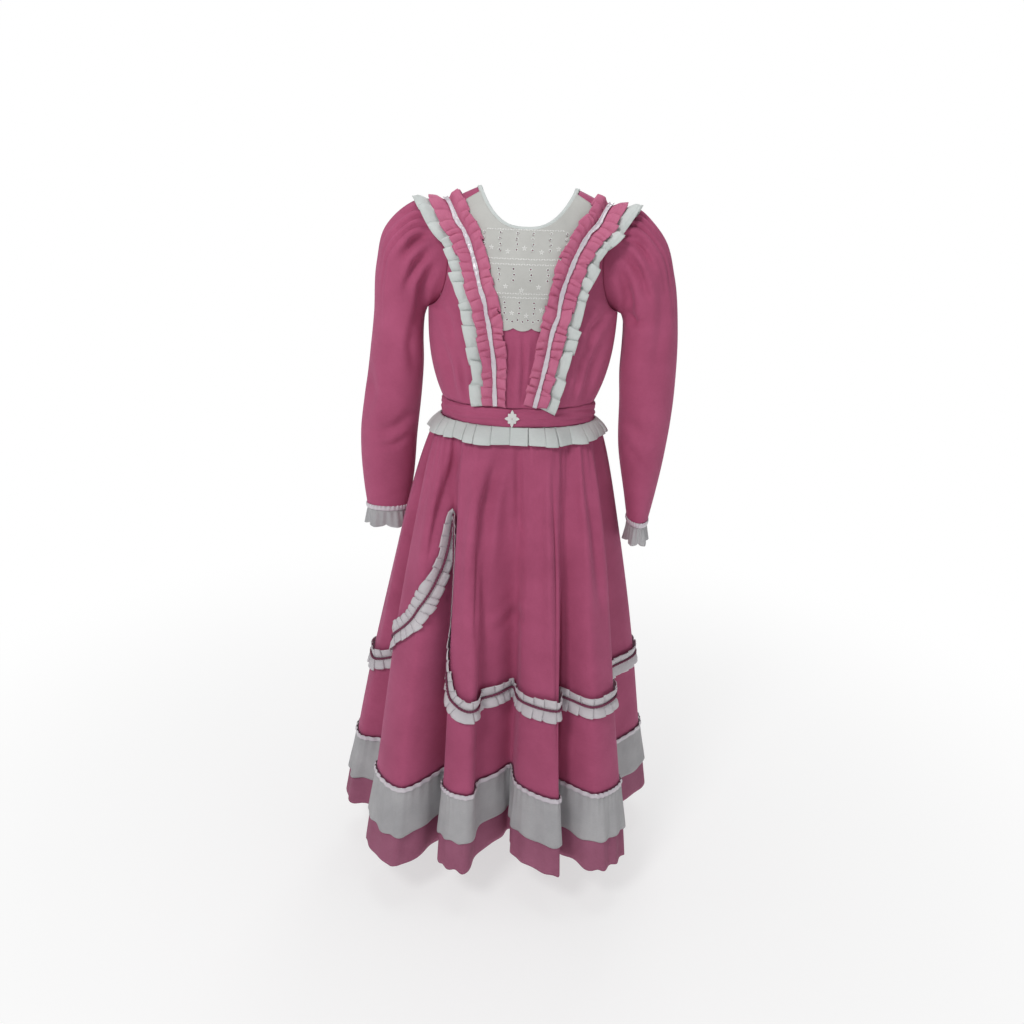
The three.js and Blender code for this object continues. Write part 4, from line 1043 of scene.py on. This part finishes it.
def rosette():
    turn = all_round(144)
    reach = 1 - ROSETTE_NOTCH * (1 - np.cos(ROSETTE_LOBES * turn))
    diamond = reach / (np.abs(np.cos(turn)) + np.abs(np.sin(turn))) ** 0.85
    rows = []
    for r in np.linspace(0.10, 1, 28):
        rounds = np.abs(np.sin(np.pi * 4.5 * r))
        loops = 0.5 + 0.5 * np.cos((ROSETTE_LOBES * (1 if r < 0.4 else 3)) * turn + 6 * r)
        height = 0.0006 + 0.0011 * rounds * (0.45 + 0.55 * loops) * (1 - 0.3 * r**4)
        x = ROSETTE_X + ROSETTE_HALF_WIDTH * r * diamond * np.cos(turn)
        z = ROSETTE_Z + ROSETTE_HALF_HEIGHT * r * diamond * np.sin(turn)
        rows.append(np.stack([x, ROSETTE_Y - height, z], -1))
    return cloth("rosette_crochet", np.array(rows), ROSETTE_CLOTH, ring=True)


diamond = rosette()

# %% [markdown]
# ## Thread and cord, with Geometry Nodes
#
# Stitches, eyelet rings and the trim's braid all repeat one small shape many times. A node tree
# does that well: a mesh of loose points says where and which way, and the tree puts a copy on each
# point. The points carry two attributes, the way out of the cloth and the way along it. The trees
# end in Realize Instances and Set Material, and the result is baked into a plain mesh.

# %% Building a node tree
def feed(tree, target, inputs):
    """Gives a node's inputs: each a value, or the socket that it comes from."""
    for key, value in inputs.items():
        if isinstance(value, bpy.types.NodeSocket):
            tree.links.new(value, target.inputs[key])
        else:
            target.inputs[key].default_value = value


def node(tree, kind, inputs=None, **settings):
    """A new node with its settings and inputs. Settings go first, as they can change the inputs."""
    made = tree.nodes.new(kind)
    for key, value in settings.items():
        setattr(made, key, value)
    feed(tree, made, inputs or {})
    return made


def maths(tree, operation, *values):
    return node(tree, "ShaderNodeMath", dict(enumerate(values)), operation=operation).outputs[0]


def new_tree(name, inputs):
    """A Geometry Nodes tree with named number inputs. inputs maps a name to its default."""
    tree = bpy.data.node_groups.new(name, "GeometryNodeTree")
    tree.interface.new_socket("Geometry", in_out="INPUT", socket_type="NodeSocketGeometry")
    for label, value in inputs.items():
        tree.interface.new_socket(label, in_out="INPUT", socket_type="NodeSocketFloat").default_value = value
    tree.interface.new_socket("Geometry", in_out="OUTPUT", socket_type="NodeSocketGeometry")
    return tree, node(tree, "NodeGroupInput").outputs


def finish_tree(tree, geometry, material):
    """The end of every tree: its copies are made real and painted."""
    real = node(tree, "GeometryNodeRealizeInstances", {"Geometry": geometry})
    paint = node(tree, "GeometryNodeSetMaterial", {
        "Geometry": real.outputs["Geometry"], "Material": material})
    node(tree, "NodeGroupOutput", {"Geometry": paint.outputs["Geometry"]})
    return tree


def bake(name, source, tree, values):
    """The tree's result on a source object, as a plain mesh object of its own."""
    modifier = source.modifiers.new("tree", "NODES")
    modifier.node_group = tree
    for item in tree.interface.items_tree:
        if item.in_out == "INPUT" and item.name in values:
            modifier[item.identifier] = values[item.name]
    mesh = bpy.data.meshes.new_from_object(source.evaluated_get(bpy.context.evaluated_depsgraph_get()))
    mesh.name = name
    source.modifiers.clear()
    bpy.data.objects.remove(source)
    print(name, len(mesh.polygons), "faces")
    return add_object(name, mesh)


def marks(places, out, along):
    """A mesh of loose points that carry the way out of the cloth and the way along it."""
    mesh = bpy.data.meshes.new("marks")
    mesh.from_pydata([tuple(p) for p in np.asarray(places)], [], [])
    for label, values in (("out", out), ("along", along)):
        mesh.attributes.new(label, "FLOAT_VECTOR", "POINT").data.foreach_set(
            "vector", np.asarray(values, np.float32).ravel())
    return add_object("marks", mesh)


def repeated(name, places, inputs, shape, material):
    """shape(tree, given) put on every mark, with its Z out and its X along, baked into one mesh."""
    tree, given = new_tree(name, inputs)
    out, along = (
        node(tree, "GeometryNodeInputNamedAttribute", {"Name": label}, data_type="FLOAT_VECTOR")
        .outputs["Attribute"]
        for label in ("out", "along")
    )
    turn = node(tree, "FunctionNodeAxesToRotation", {"Primary Axis": out, "Secondary Axis": along},
                primary_axis="Z", secondary_axis="X")
    copies = node(tree, "GeometryNodeInstanceOnPoints", {
        "Points": given["Geometry"], "Instance": shape(tree, given), "Rotation": turn.outputs["Rotation"]})
    return bake(name, places, finish_tree(tree, copies.outputs["Instances"], material), inputs)

# %% [markdown]
# ## Finishes
#
# The dress cloth is a fine plain-weave polyester. Three things make cloth look like cloth: a weave
# small enough to read only near by, a soft sheen where the surface turns away, and colour that is
# never quite even. The weave is two sine waves across the UV map, which is in metres, so its thread
# count is real on every piece. Values that hold all over are set on the shader's own sockets.

# %% A woven material
def linear(red, green, blue):
    """A colour picked on a screen, 0 to 255, as Blender's linear light."""
    c = np.array([red, green, blue]) / 255
    return tuple(np.where(c <= 0.04045, c / 12.92, ((c + 0.055) / 1.055) ** 2.4)) + (1.0,)


def woven(name, colour, shade, thread=0.0006, depth=0.00007, roughness=0.8, sheen=0.25, sheen_tint=None,
          blotch=14.0, alpha=1.0, specular=0.3, crumple=0.0):
    """Plain-weave cloth: colour and a darker shade of it in soft blotches, with a thread-fine bump."""
    material = bpy.data.materials.new(name)
    material.use_nodes = True
    tree = material.node_tree
    uv = node(tree, "ShaderNodeUVMap", uv_map="cloth").outputs["UV"]
    place = node(tree, "ShaderNodeTexCoord").outputs["Object"]
    split = node(tree, "ShaderNodeSeparateXYZ", {0: uv}).outputs
    warp, weft = (
        maths(tree, "SINE", maths(tree, "MULTIPLY", split[way], 2 * np.pi / thread)) for way in "XY")
    cloud = node(tree, "ShaderNodeTexNoise", {
        "Scale": blotch, "Detail": 6, "Roughness": 0.6, "Vector": place})
    stretch = node(tree, "ShaderNodeMapping", {"Scale": (0.35, 1, 1), "Vector": uv}).outputs["Vector"]
    slub = node(tree, "ShaderNodeTexNoise", {"Scale": 420, "Detail": 3, "Vector": stretch}).outputs["Fac"]
    grain = maths(tree, "SUBTRACT", maths(tree, "MULTIPLY", slub, 0.30), 0.15)
    spread = node(tree, "ShaderNodeMapRange", {
        "Value": maths(tree, "ADD", cloud.outputs["Fac"], grain), "From Min": 0.3, "From Max": 0.7})
    tone = node(tree, "ShaderNodeMix", {"Factor": spread.outputs["Result"], "A": shade, "B": colour},
                data_type="RGBA")
    height = maths(tree, "ADD", maths(tree, "MULTIPLY", warp, weft), maths(tree, "MULTIPLY", slub, 1.5))
    bump = node(tree, "ShaderNodeBump", {"Distance": depth, "Strength": 0.6, "Height": height})
    if crumple:
        wrinkle = node(tree, "ShaderNodeTexNoise", {"Scale": 55, "Detail": 2, "Vector": place})
        bump = node(tree, "ShaderNodeBump", {
            "Distance": crumple, "Strength": 0.5, "Height": wrinkle.outputs["Fac"],
            "Normal": bump.outputs["Normal"]})
    feed(tree, tree.nodes["Principled BSDF"], {
        "Base Color": tone.outputs["Result"], "Roughness": roughness, "Specular IOR Level": specular,
        "Sheen Weight": sheen, "Sheen Roughness": 0.5, "Sheen Tint": sheen_tint or colour, "Alpha": alpha,
        "Normal": bump.outputs["Normal"]})
    return material


# %% The dress's finishes
dress_pink = woven("dress_pink", linear(180, 86, 122), linear(166, 76, 110), crumple=0.0016, sheen=0.35,
                   sheen_tint=linear(214, 150, 184))
ruche_pink = woven("ruche_pink", linear(206, 120, 150), linear(188, 98, 132), crumple=0.0006)
dusty_pink = woven("dusty_pink", linear(166, 100, 127), linear(150, 86, 112), sheen=0.15, crumple=0.0010)
cotton = woven("white_cotton", linear(212, 217, 215), linear(198, 204, 202), thread=0.0005, sheen=0.1,
               crumple=0.0006)
eyelet_cotton = woven("eyelet_cotton", linear(200, 200, 196), linear(188, 188, 184), thread=0.0005, sheen=0.1,
                      crumple=0.0008)
trim_cotton = woven("trim_cotton", linear(214, 209, 213), linear(200, 195, 200), thread=0.0005, sheen=0.1)
voile = woven("voile", linear(196, 195, 197), linear(178, 177, 180), thread=0.0007, depth=0.00010, sheen=0.2,
              alpha=0.90, crumple=0.0008)
satin = woven("white_satin", linear(214, 208, 214), linear(200, 190, 200), thread=0.00025, depth=0.00002,
              roughness=0.24, sheen=0.1, specular=0.8)
thread_white = woven("white_thread", linear(236, 236, 234), linear(222, 222, 220), thread=0.0004,
                     depth=0.00006, roughness=0.55, sheen=0.2)
thread_pink = woven("pink_thread", linear(186, 104, 138), linear(170, 88, 122), thread=0.0004, roughness=0.5)
braid = woven("wine_braid", linear(126, 62, 88), linear(108, 50, 74), thread=0.0008,
              depth=0.00012, roughness=0.6)
print("finishes:", [m.name for m in bpy.data.materials if m.use_nodes])


def dye(piece, material):
    piece.data.materials.clear()
    piece.data.materials.append(material)


for piece in (bodice_front, bodice_back, sleeves["right"], sleeves["left"], band, skirt_front, skirt_back):
    dye(piece, dress_pink)
for side in SIDES:
    dye(sash_pieces[f"white_ruffle_{side}"], cotton)
    dye(sash_pieces[f"ruche_{side}"], ruche_pink)
    dye(sash_pieces[f"ruche_ribbon_{side}"], satin)
    dye(cuffs[side][0], satin)
    dye(cuffs[side][1], voile)
dye(plastron, eyelet_cotton)
dye(neck_band, cotton)
dye(pink_flounce, dusty_pink)
dye(white_flounce, voile)
dye(hem_satin, satin)
dye(trim, trim_cotton)
dye(frill, cotton)
dye(diamond, thread_white)

# %% [markdown]
# ### Eyelet rings
#
# Each hole in the plastron is worked round with white thread: a low fat ring. The tree sweeps a
# small circle round a larger one, and puts a copy on each eyelet.

# %% Eyelet rings
def ring_shape(tree, given):
    """A ring of thread lying flat."""
    path, section = (
        node(tree, "GeometryNodeCurvePrimitiveCircle", {"Resolution": sides, "Radius": given[size]})
        .outputs["Curve"]
        for sides, size in ((18, "Ring radius"), (7, "Thread radius"))
    )
    return node(tree, "GeometryNodeCurveToMesh", {"Curve": path, "Profile Curve": section}).outputs["Mesh"]


eyelet_p, eyelet_n = on_bodice(-1, EYELETS[:, 0], EYELETS[:, 1], PLASTRON_LIFT + 0.0001)
eyelet_along = unit(np.cross(np.array([0, 0, 1.0]), eyelet_n))
eyelet_rings = repeated("eyelet_rings", marks(eyelet_p, eyelet_n, eyelet_along),
                        {"Ring radius": 0.0022, "Thread radius": 0.0007}, ring_shape, thread_white)

# %% [markdown]
# ### Embroidery and stitches
#
# Satin stitch is thread laid side by side until it makes a small raised pad. Flowers of five such
# pads stand between the columns of holes, and short bars of it run in rows across the panel. Plain
# seams show as a row of short stitches that dip into the cloth at both ends.

# %% Embroidery
FLOWERS = [(-0.062, -0.086), (-0.033, -0.092), (-0.004, -0.086), (0.026, -0.092), (0.056, -0.086),
           (-0.035, -0.150), (-0.007, -0.156), (0.023, -0.150), (-0.023, -0.196),
           (0.003, -0.200), (0.030, -0.190)]
PETALS, PETAL_REACH = 5, 0.0026
BARS = table("z start end",
    (-0.056, -0.070, 0.066), (-0.104, -0.074, 0.070), (-0.113, -0.072, 0.068),
    (-0.162, -0.058, 0.052), (-0.169, -0.058, 0.050))
BAR_STEP = 0.0046


def pad_shape(tree, given):
    """A low pad of thread, longer along the cloth than it is wide."""
    ball = node(tree, "GeometryNodeMeshUVSphere", {"Segments": 6, "Rings": 4})
    size = node(tree, "ShaderNodeCombineXYZ", {
        "X": given["Half length"], "Y": given["Half width"], "Z": given["Height"]})
    return node(tree, "GeometryNodeTransform", {
        "Geometry": ball.outputs["Mesh"], "Scale": size.outputs["Vector"]}).outputs["Geometry"]


def embroidered():
    turn = 2 * np.pi * np.arange(PETALS) / PETALS + 0.3
    spoke = np.stack([np.cos(turn), np.sin(turn)], -1)
    places = (np.array(FLOWERS)[:, None] + PETAL_REACH * spoke).reshape(-1, 2)
    ways = np.tile(spoke, (len(FLOWERS), 1))
    for bar in BARS:
        xs = np.arange(bar["start"], bar["end"], BAR_STEP)
        tilt = 0.5 * (-1.0) ** np.arange(len(xs))
        places = np.concatenate([places, np.stack([xs, np.full_like(xs, bar["z"])], -1)])
        ways = np.concatenate([ways, np.stack([np.cos(tilt), np.sin(tilt)], -1)])
    p, n = on_bodice(-1, places[:, 0], places[:, 1], PLASTRON_LIFT)
    return marks(p, n, np.stack([ways[:, 0], np.zeros(len(ways)), ways[:, 1]], -1))


def pads(length, width, height):
    return {"Half length": length, "Half width": width, "Height": height}


embroidery = repeated("embroidery", embroidered(), pads(0.0023, 0.0011, 0.0009), pad_shape, thread_white)

# %% Rows of stitches
STITCH_STEP, STITCH_HALF, STITCH_WIDTH, STITCH_HEIGHT = 0.0032, 0.0011, 0.00028, 0.00030


def stitch_row(points, normals, ring=False):
    """Places, ways out and ways along of the stitches of one seam."""
    if ring:
        points, normals = (np.concatenate([v, v[:1]]) for v in (points, normals))
    run = running(points)
    at = np.arange(STITCH_STEP / 2, run[-1], STITCH_STEP)
    places, out = (np.stack([np.interp(at, run, v[:, k]) for k in range(3)], -1) for v in (points, normals))
    return places, unit(out), unit(np.gradient(places, axis=0))


def sew(name, rows, material):
    places = marks(*(np.concatenate([row[k] for row in rows]) for k in range(3)))
    return repeated(name, places, pads(STITCH_HALF, STITCH_WIDTH, STITCH_HEIGHT), pad_shape, material)


def ring_seam(z, height):
    flare = np.linspace(0, COUNT, 1400, endpoint=False)
    points = over_skirt(flare, z, height)
    return stitch_row(points, surface_normal(skirt_surface, flare, z), ring=True)


neck_edge, neck_out = neck_loop(160)
neck_hem = stitch_row(neck_edge + neck_out * 0.0026, neck_out, ring=True)
band_turn = all_round(500)
band_rows = [
    stitch_row(waist_point(band_turn, 0.0026, z), unit(waist_point(band_turn, 1, 0) * (1, 1, 0)), ring=True)
    for z in (WAIST_TOP - 0.0035, WAIST_BOTTOM + 0.0035)
]
white_stitches = sew("white_stitches", [neck_hem], thread_white)
pink_stitches = sew("pink_stitches", band_rows + [ring_seam(HEM_RIBBON_Z + 0.009, 0.0002)], thread_pink)

# %% [markdown]
# ### The trim's cord
#
# Two strands of dark pink braid wind round each other along the trim's line. The tree resamples the
# line, moves it out on a turning spoke for each strand, and sweeps a circle along both.

# %% Cord
CORD_LIFT = 0.0052


def cord_line():
    flare, z = trim_path(np.linspace(0, 1, 900, endpoint=False))
    points = over_skirt(flare, z, CORD_LIFT)
    data = bpy.data.curves.new("cord_line", "CURVE")
    data.dimensions = "3D"
    spline = data.splines.new("POLY")
    spline.points.add(len(points) - 1)
    spline.points.foreach_set("co", np.concatenate([points, np.ones((len(points), 1))], 1).ravel())
    spline.use_cyclic_u = True
    return add_object("cord_line", data)


CORD = {"Strand radius": 0.0017, "Twist radius": 0.0014, "Pitch": 0.012, "Step": 0.0030}


def cord_tree():
    tree, given = new_tree("cord", CORD)
    line = node(tree, "GeometryNodeResampleCurve", {"Curve": given["Geometry"], "Length": given["Step"]},
                mode="LENGTH")
    run = node(tree, "GeometryNodeSplineParameter").outputs["Length"]
    turns = maths(tree, "MULTIPLY", maths(tree, "DIVIDE", run, given["Pitch"]), 2 * np.pi)
    section = node(tree, "GeometryNodeCurvePrimitiveCircle", {
        "Resolution": 6, "Radius": given["Strand radius"]})
    normal = node(tree, "GeometryNodeInputNormal").outputs["Normal"]
    tangent = node(tree, "GeometryNodeInputTangent").outputs["Tangent"]
    join = node(tree, "GeometryNodeJoinGeometry")
    for start in (0.0, np.pi):
        spoke = node(tree, "ShaderNodeVectorRotate", {
            "Vector": normal, "Axis": tangent, "Angle": maths(tree, "ADD", turns, start)},
            rotation_type="AXIS_ANGLE")
        reach = node(tree, "ShaderNodeVectorMath", {
            0: spoke.outputs["Vector"], "Scale": given["Twist radius"]}, operation="SCALE")
        strand = node(tree, "GeometryNodeSetPosition", {
            "Geometry": line.outputs["Curve"], "Offset": reach.outputs["Vector"]})
        sweep = node(tree, "GeometryNodeCurveToMesh", {
            "Curve": strand.outputs["Geometry"], "Profile Curve": section.outputs["Curve"]})
        feed(tree, join, {"Geometry": sweep.outputs["Mesh"]})
    return finish_tree(tree, join.outputs["Geometry"], braid)


cord = bake("skirt_trim_braid", cord_line(), cord_tree(), CORD)

# %% [markdown]
# ## Room, light and camera
#
# A plain pale floor that fades into a white surround, one large soft light high on the left of the
# camera, a weaker one on the right and a wide one above. The camera looks down a little.

# %% Floor
FLOOR_Z, FLOOR_RADIUS = -1.42, 9.0
WHITE = (1, 1, 1, 1)


def floor():
    """A disc whose paint fades into the white surround."""
    bpy.ops.mesh.primitive_circle_add(vertices=96, radius=FLOOR_RADIUS, fill_type="NGON", location=(0, 0, 0))
    made = bpy.context.object
    made.name = "floor"
    made.data.transform(Matrix.Translation((0, 0, FLOOR_Z)))
    material = bpy.data.materials.new("floor_paint")
    material.use_nodes = True
    tree = material.node_tree
    paint = tree.nodes["Principled BSDF"]
    feed(tree, paint, {"Base Color": (0.8, 0.8, 0.8, 1), "Roughness": 0.9, "Specular IOR Level": 0.0,
                       "Emission Color": WHITE, "Emission Strength": 0.25})
    away = node(tree, "ShaderNodeVectorMath", {0: node(tree, "ShaderNodeTexCoord").outputs["Object"]},
                operation="LENGTH")
    fade = node(tree, "ShaderNodeMapRange", {
        "Value": away.outputs["Value"], "From Min": 0.5, "From Max": 2.4},
                interpolation_type="SMOOTHSTEP")
    blend = node(tree, "ShaderNodeMixShader", {
        "Fac": fade.outputs["Result"], 1: paint.outputs["BSDF"],
        2: node(tree, "ShaderNodeEmission").outputs["Emission"]})
    feed(tree, tree.nodes["Material Output"], {"Surface": blend.outputs["Shader"]})
    dye(made, material)
    return made


ground = floor()

# %% Light
WORLD_STRENGTH = 0.25


def surround():
    """White to the camera, and a weaker even light to everything else."""
    world = bpy.data.worlds.new("white_room")
    world.use_nodes = True
    tree = world.node_tree
    soft = tree.nodes["Background"]
    feed(tree, soft, {"Strength": WORLD_STRENGTH, "Color": WHITE})
    seen = node(tree, "ShaderNodeBackground", {"Color": WHITE})
    blend = node(tree, "ShaderNodeMixShader", {
        "Fac": node(tree, "ShaderNodeLightPath").outputs["Is Camera Ray"],
        1: soft.outputs["Background"], 2: seen.outputs["Background"]})
    feed(tree, tree.nodes["World Output"], {"Surface": blend.outputs["Shader"]})
    bpy.context.scene.world = world


def soft_box(name, place, aim, size, power):
    data = bpy.data.lights.new(name, "AREA")
    data.shape, data.size, data.energy = "DISK", size, power
    made = add_object(name, data)
    made.location = place
    made.rotation_euler = (Vector(aim) - Vector(place)).to_track_quat("-Z", "Y").to_euler()


surround()
soft_box("key", (-1.1, -2.0, 1.4), (0, 0, -0.28), 0.8, 34)
soft_box("fill", (2.4, -2.0, 0.4), (0, 0, -0.7), 1.6, 4)
soft_box("top", (0.0, 0.1, 2.0), (0, 0, -0.5), 1.6, 18)
soft_box("back", (0.6, 2.8, 1.0), (0, 0, -0.6), 1.6, 20)
bpy.context.scene.view_settings.view_transform = "Standard"

# %% Camera
CAMERA_PLACE, CAMERA_PITCH, CAMERA_ROLL, CAMERA_LENS = (-0.010, -1.75, 0.02), 20.0, 2.0, 31.64


def camera():
    data = bpy.data.cameras.new("camera")
    data.lens, data.sensor_width = CAMERA_LENS, 36
    made = add_object("camera", data)
    made.location = CAMERA_PLACE
    look = Euler((np.radians(90 - CAMERA_PITCH), 0, 0)).to_matrix()
    roll = Euler((0, 0, np.radians(CAMERA_ROLL))).to_matrix()
    made.rotation_euler = (look @ roll).to_euler()
    bpy.context.scene.camera = made


camera()

# %% [markdown]
# ## Which piece stands for which part of the model
#
# Every piece rides on the one body and replaces its CAD node. Before it was pleated and sewn, each
# piece but the cord was a flat cut: the table gives its width and length, its flat area where it
# wasn't a rectangle, how it is held now and what it lies on. The trims' cuts are far longer than the
# lines they are sewn along, because every pleat takes cloth three times.

# %% Pieces: CAD node, slot, flat size and flat area, how held and what on
PIECES = [
    (bodice_front, "bodice_front", "dress_cloth", (0.46, 0.42), 0.152, "hung", "plastron_cloth"),
    (bodice_back, "bodice_back", "dress_cloth", (0.44, 0.41), 0.140, "hung", "bodice_front_cloth"),
    (plastron, "plastron", "eyelet_cloth", (0.236, 0.236), 0.036, "laid", "bodice_front_cloth"),
    (neck_band, "neck_binding", "white_cloth", (0.46, 0.014), None, "laid", "bodice_front_cloth"),
    (band, "waistband", "dress_cloth", (0.82, 0.040), None, "stretched", "bodice_front_cloth"),
    (frill, "waist_frill", "white_cloth", (1.85, 0.030), None, "gathered", "skirt_front_cloth"),
    (diamond, "rosette", "crochet", (0.028, 0.034), 0.00064, "laid", "waistband_cloth"),
    (skirt_front, "skirt_front", "dress_cloth", (1.45, 0.80), 0.78, "gathered", "waistband_cloth"),
    (skirt_back, "skirt_back", "dress_cloth", (1.30, 0.80), 0.66, "gathered", "waistband_cloth"),
    (trim, "skirt_trim", "white_cloth", (3.25, 0.044), None, "gathered", "skirt_front_cloth"),
    (cord, "skirt_trim_cord", "cord"),
    (pink_flounce, "hem_flounce_pink", "flounce_cloth", (3.00, 0.167), None, "gathered", "skirt_front_cloth"),
    (white_flounce, "hem_flounce_white", "voile", (2.90, 0.100), None, "gathered", "hem_flounce_pink_cloth"),
    (hem_satin, "hem_ribbon", "satin_ribbon", (2.65, 0.012), None, "laid", "hem_flounce_white_voile"),
]
for side in SIDES:
    ruffle, ruche, ribbon = (
        sash_pieces[f"{kind}_{side}"] for kind in ("white_ruffle", "ruche", "ruche_ribbon"))
    cuff_ribbon, cuff_frill = cuffs[side]
    PIECES += [
        (sleeves[side], f"sleeve_{side}", "dress_cloth",
         (0.42, 0.66), 0.225, "gathered", "bodice_front_cloth"),
        (cuff_ribbon, f"cuff_ribbon_{side}", "satin_ribbon",
         (0.25, 0.012), None, "gathered", f"sleeve_{side}_cloth"),
        (cuff_frill, f"cuff_frill_{side}", "voile",
         (0.30, 0.036), 0.0095, "gathered", f"cuff_ribbon_{side}_satin"),
        (ruffle, f"white_ruffle_{side}", "white_cloth",
         (1.35, 0.036), None, "gathered", "bodice_front_cloth"),
        (ruche, f"ruche_{side}", "ruche_cloth",
         (1.25, 0.052), None, "gathered", f"white_ruffle_{side}_cloth"),
        (ribbon, f"ruche_ribbon_{side}", "satin_ribbon", (0.82, 0.010), None, "laid", f"ruche_{side}_cloth"),
    ]
for piece, cad_node, slot, *cut in PIECES:
    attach(piece, "root")
    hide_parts(cad_node)
THREADS = [(eyelet_rings, "eyelet_cloth"), (embroidery, "eyelet_cloth"), (white_stitches, "white_cloth"),
           (pink_stitches, "dress_cloth")]
for piece, slot in THREADS:
    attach(piece, "root")
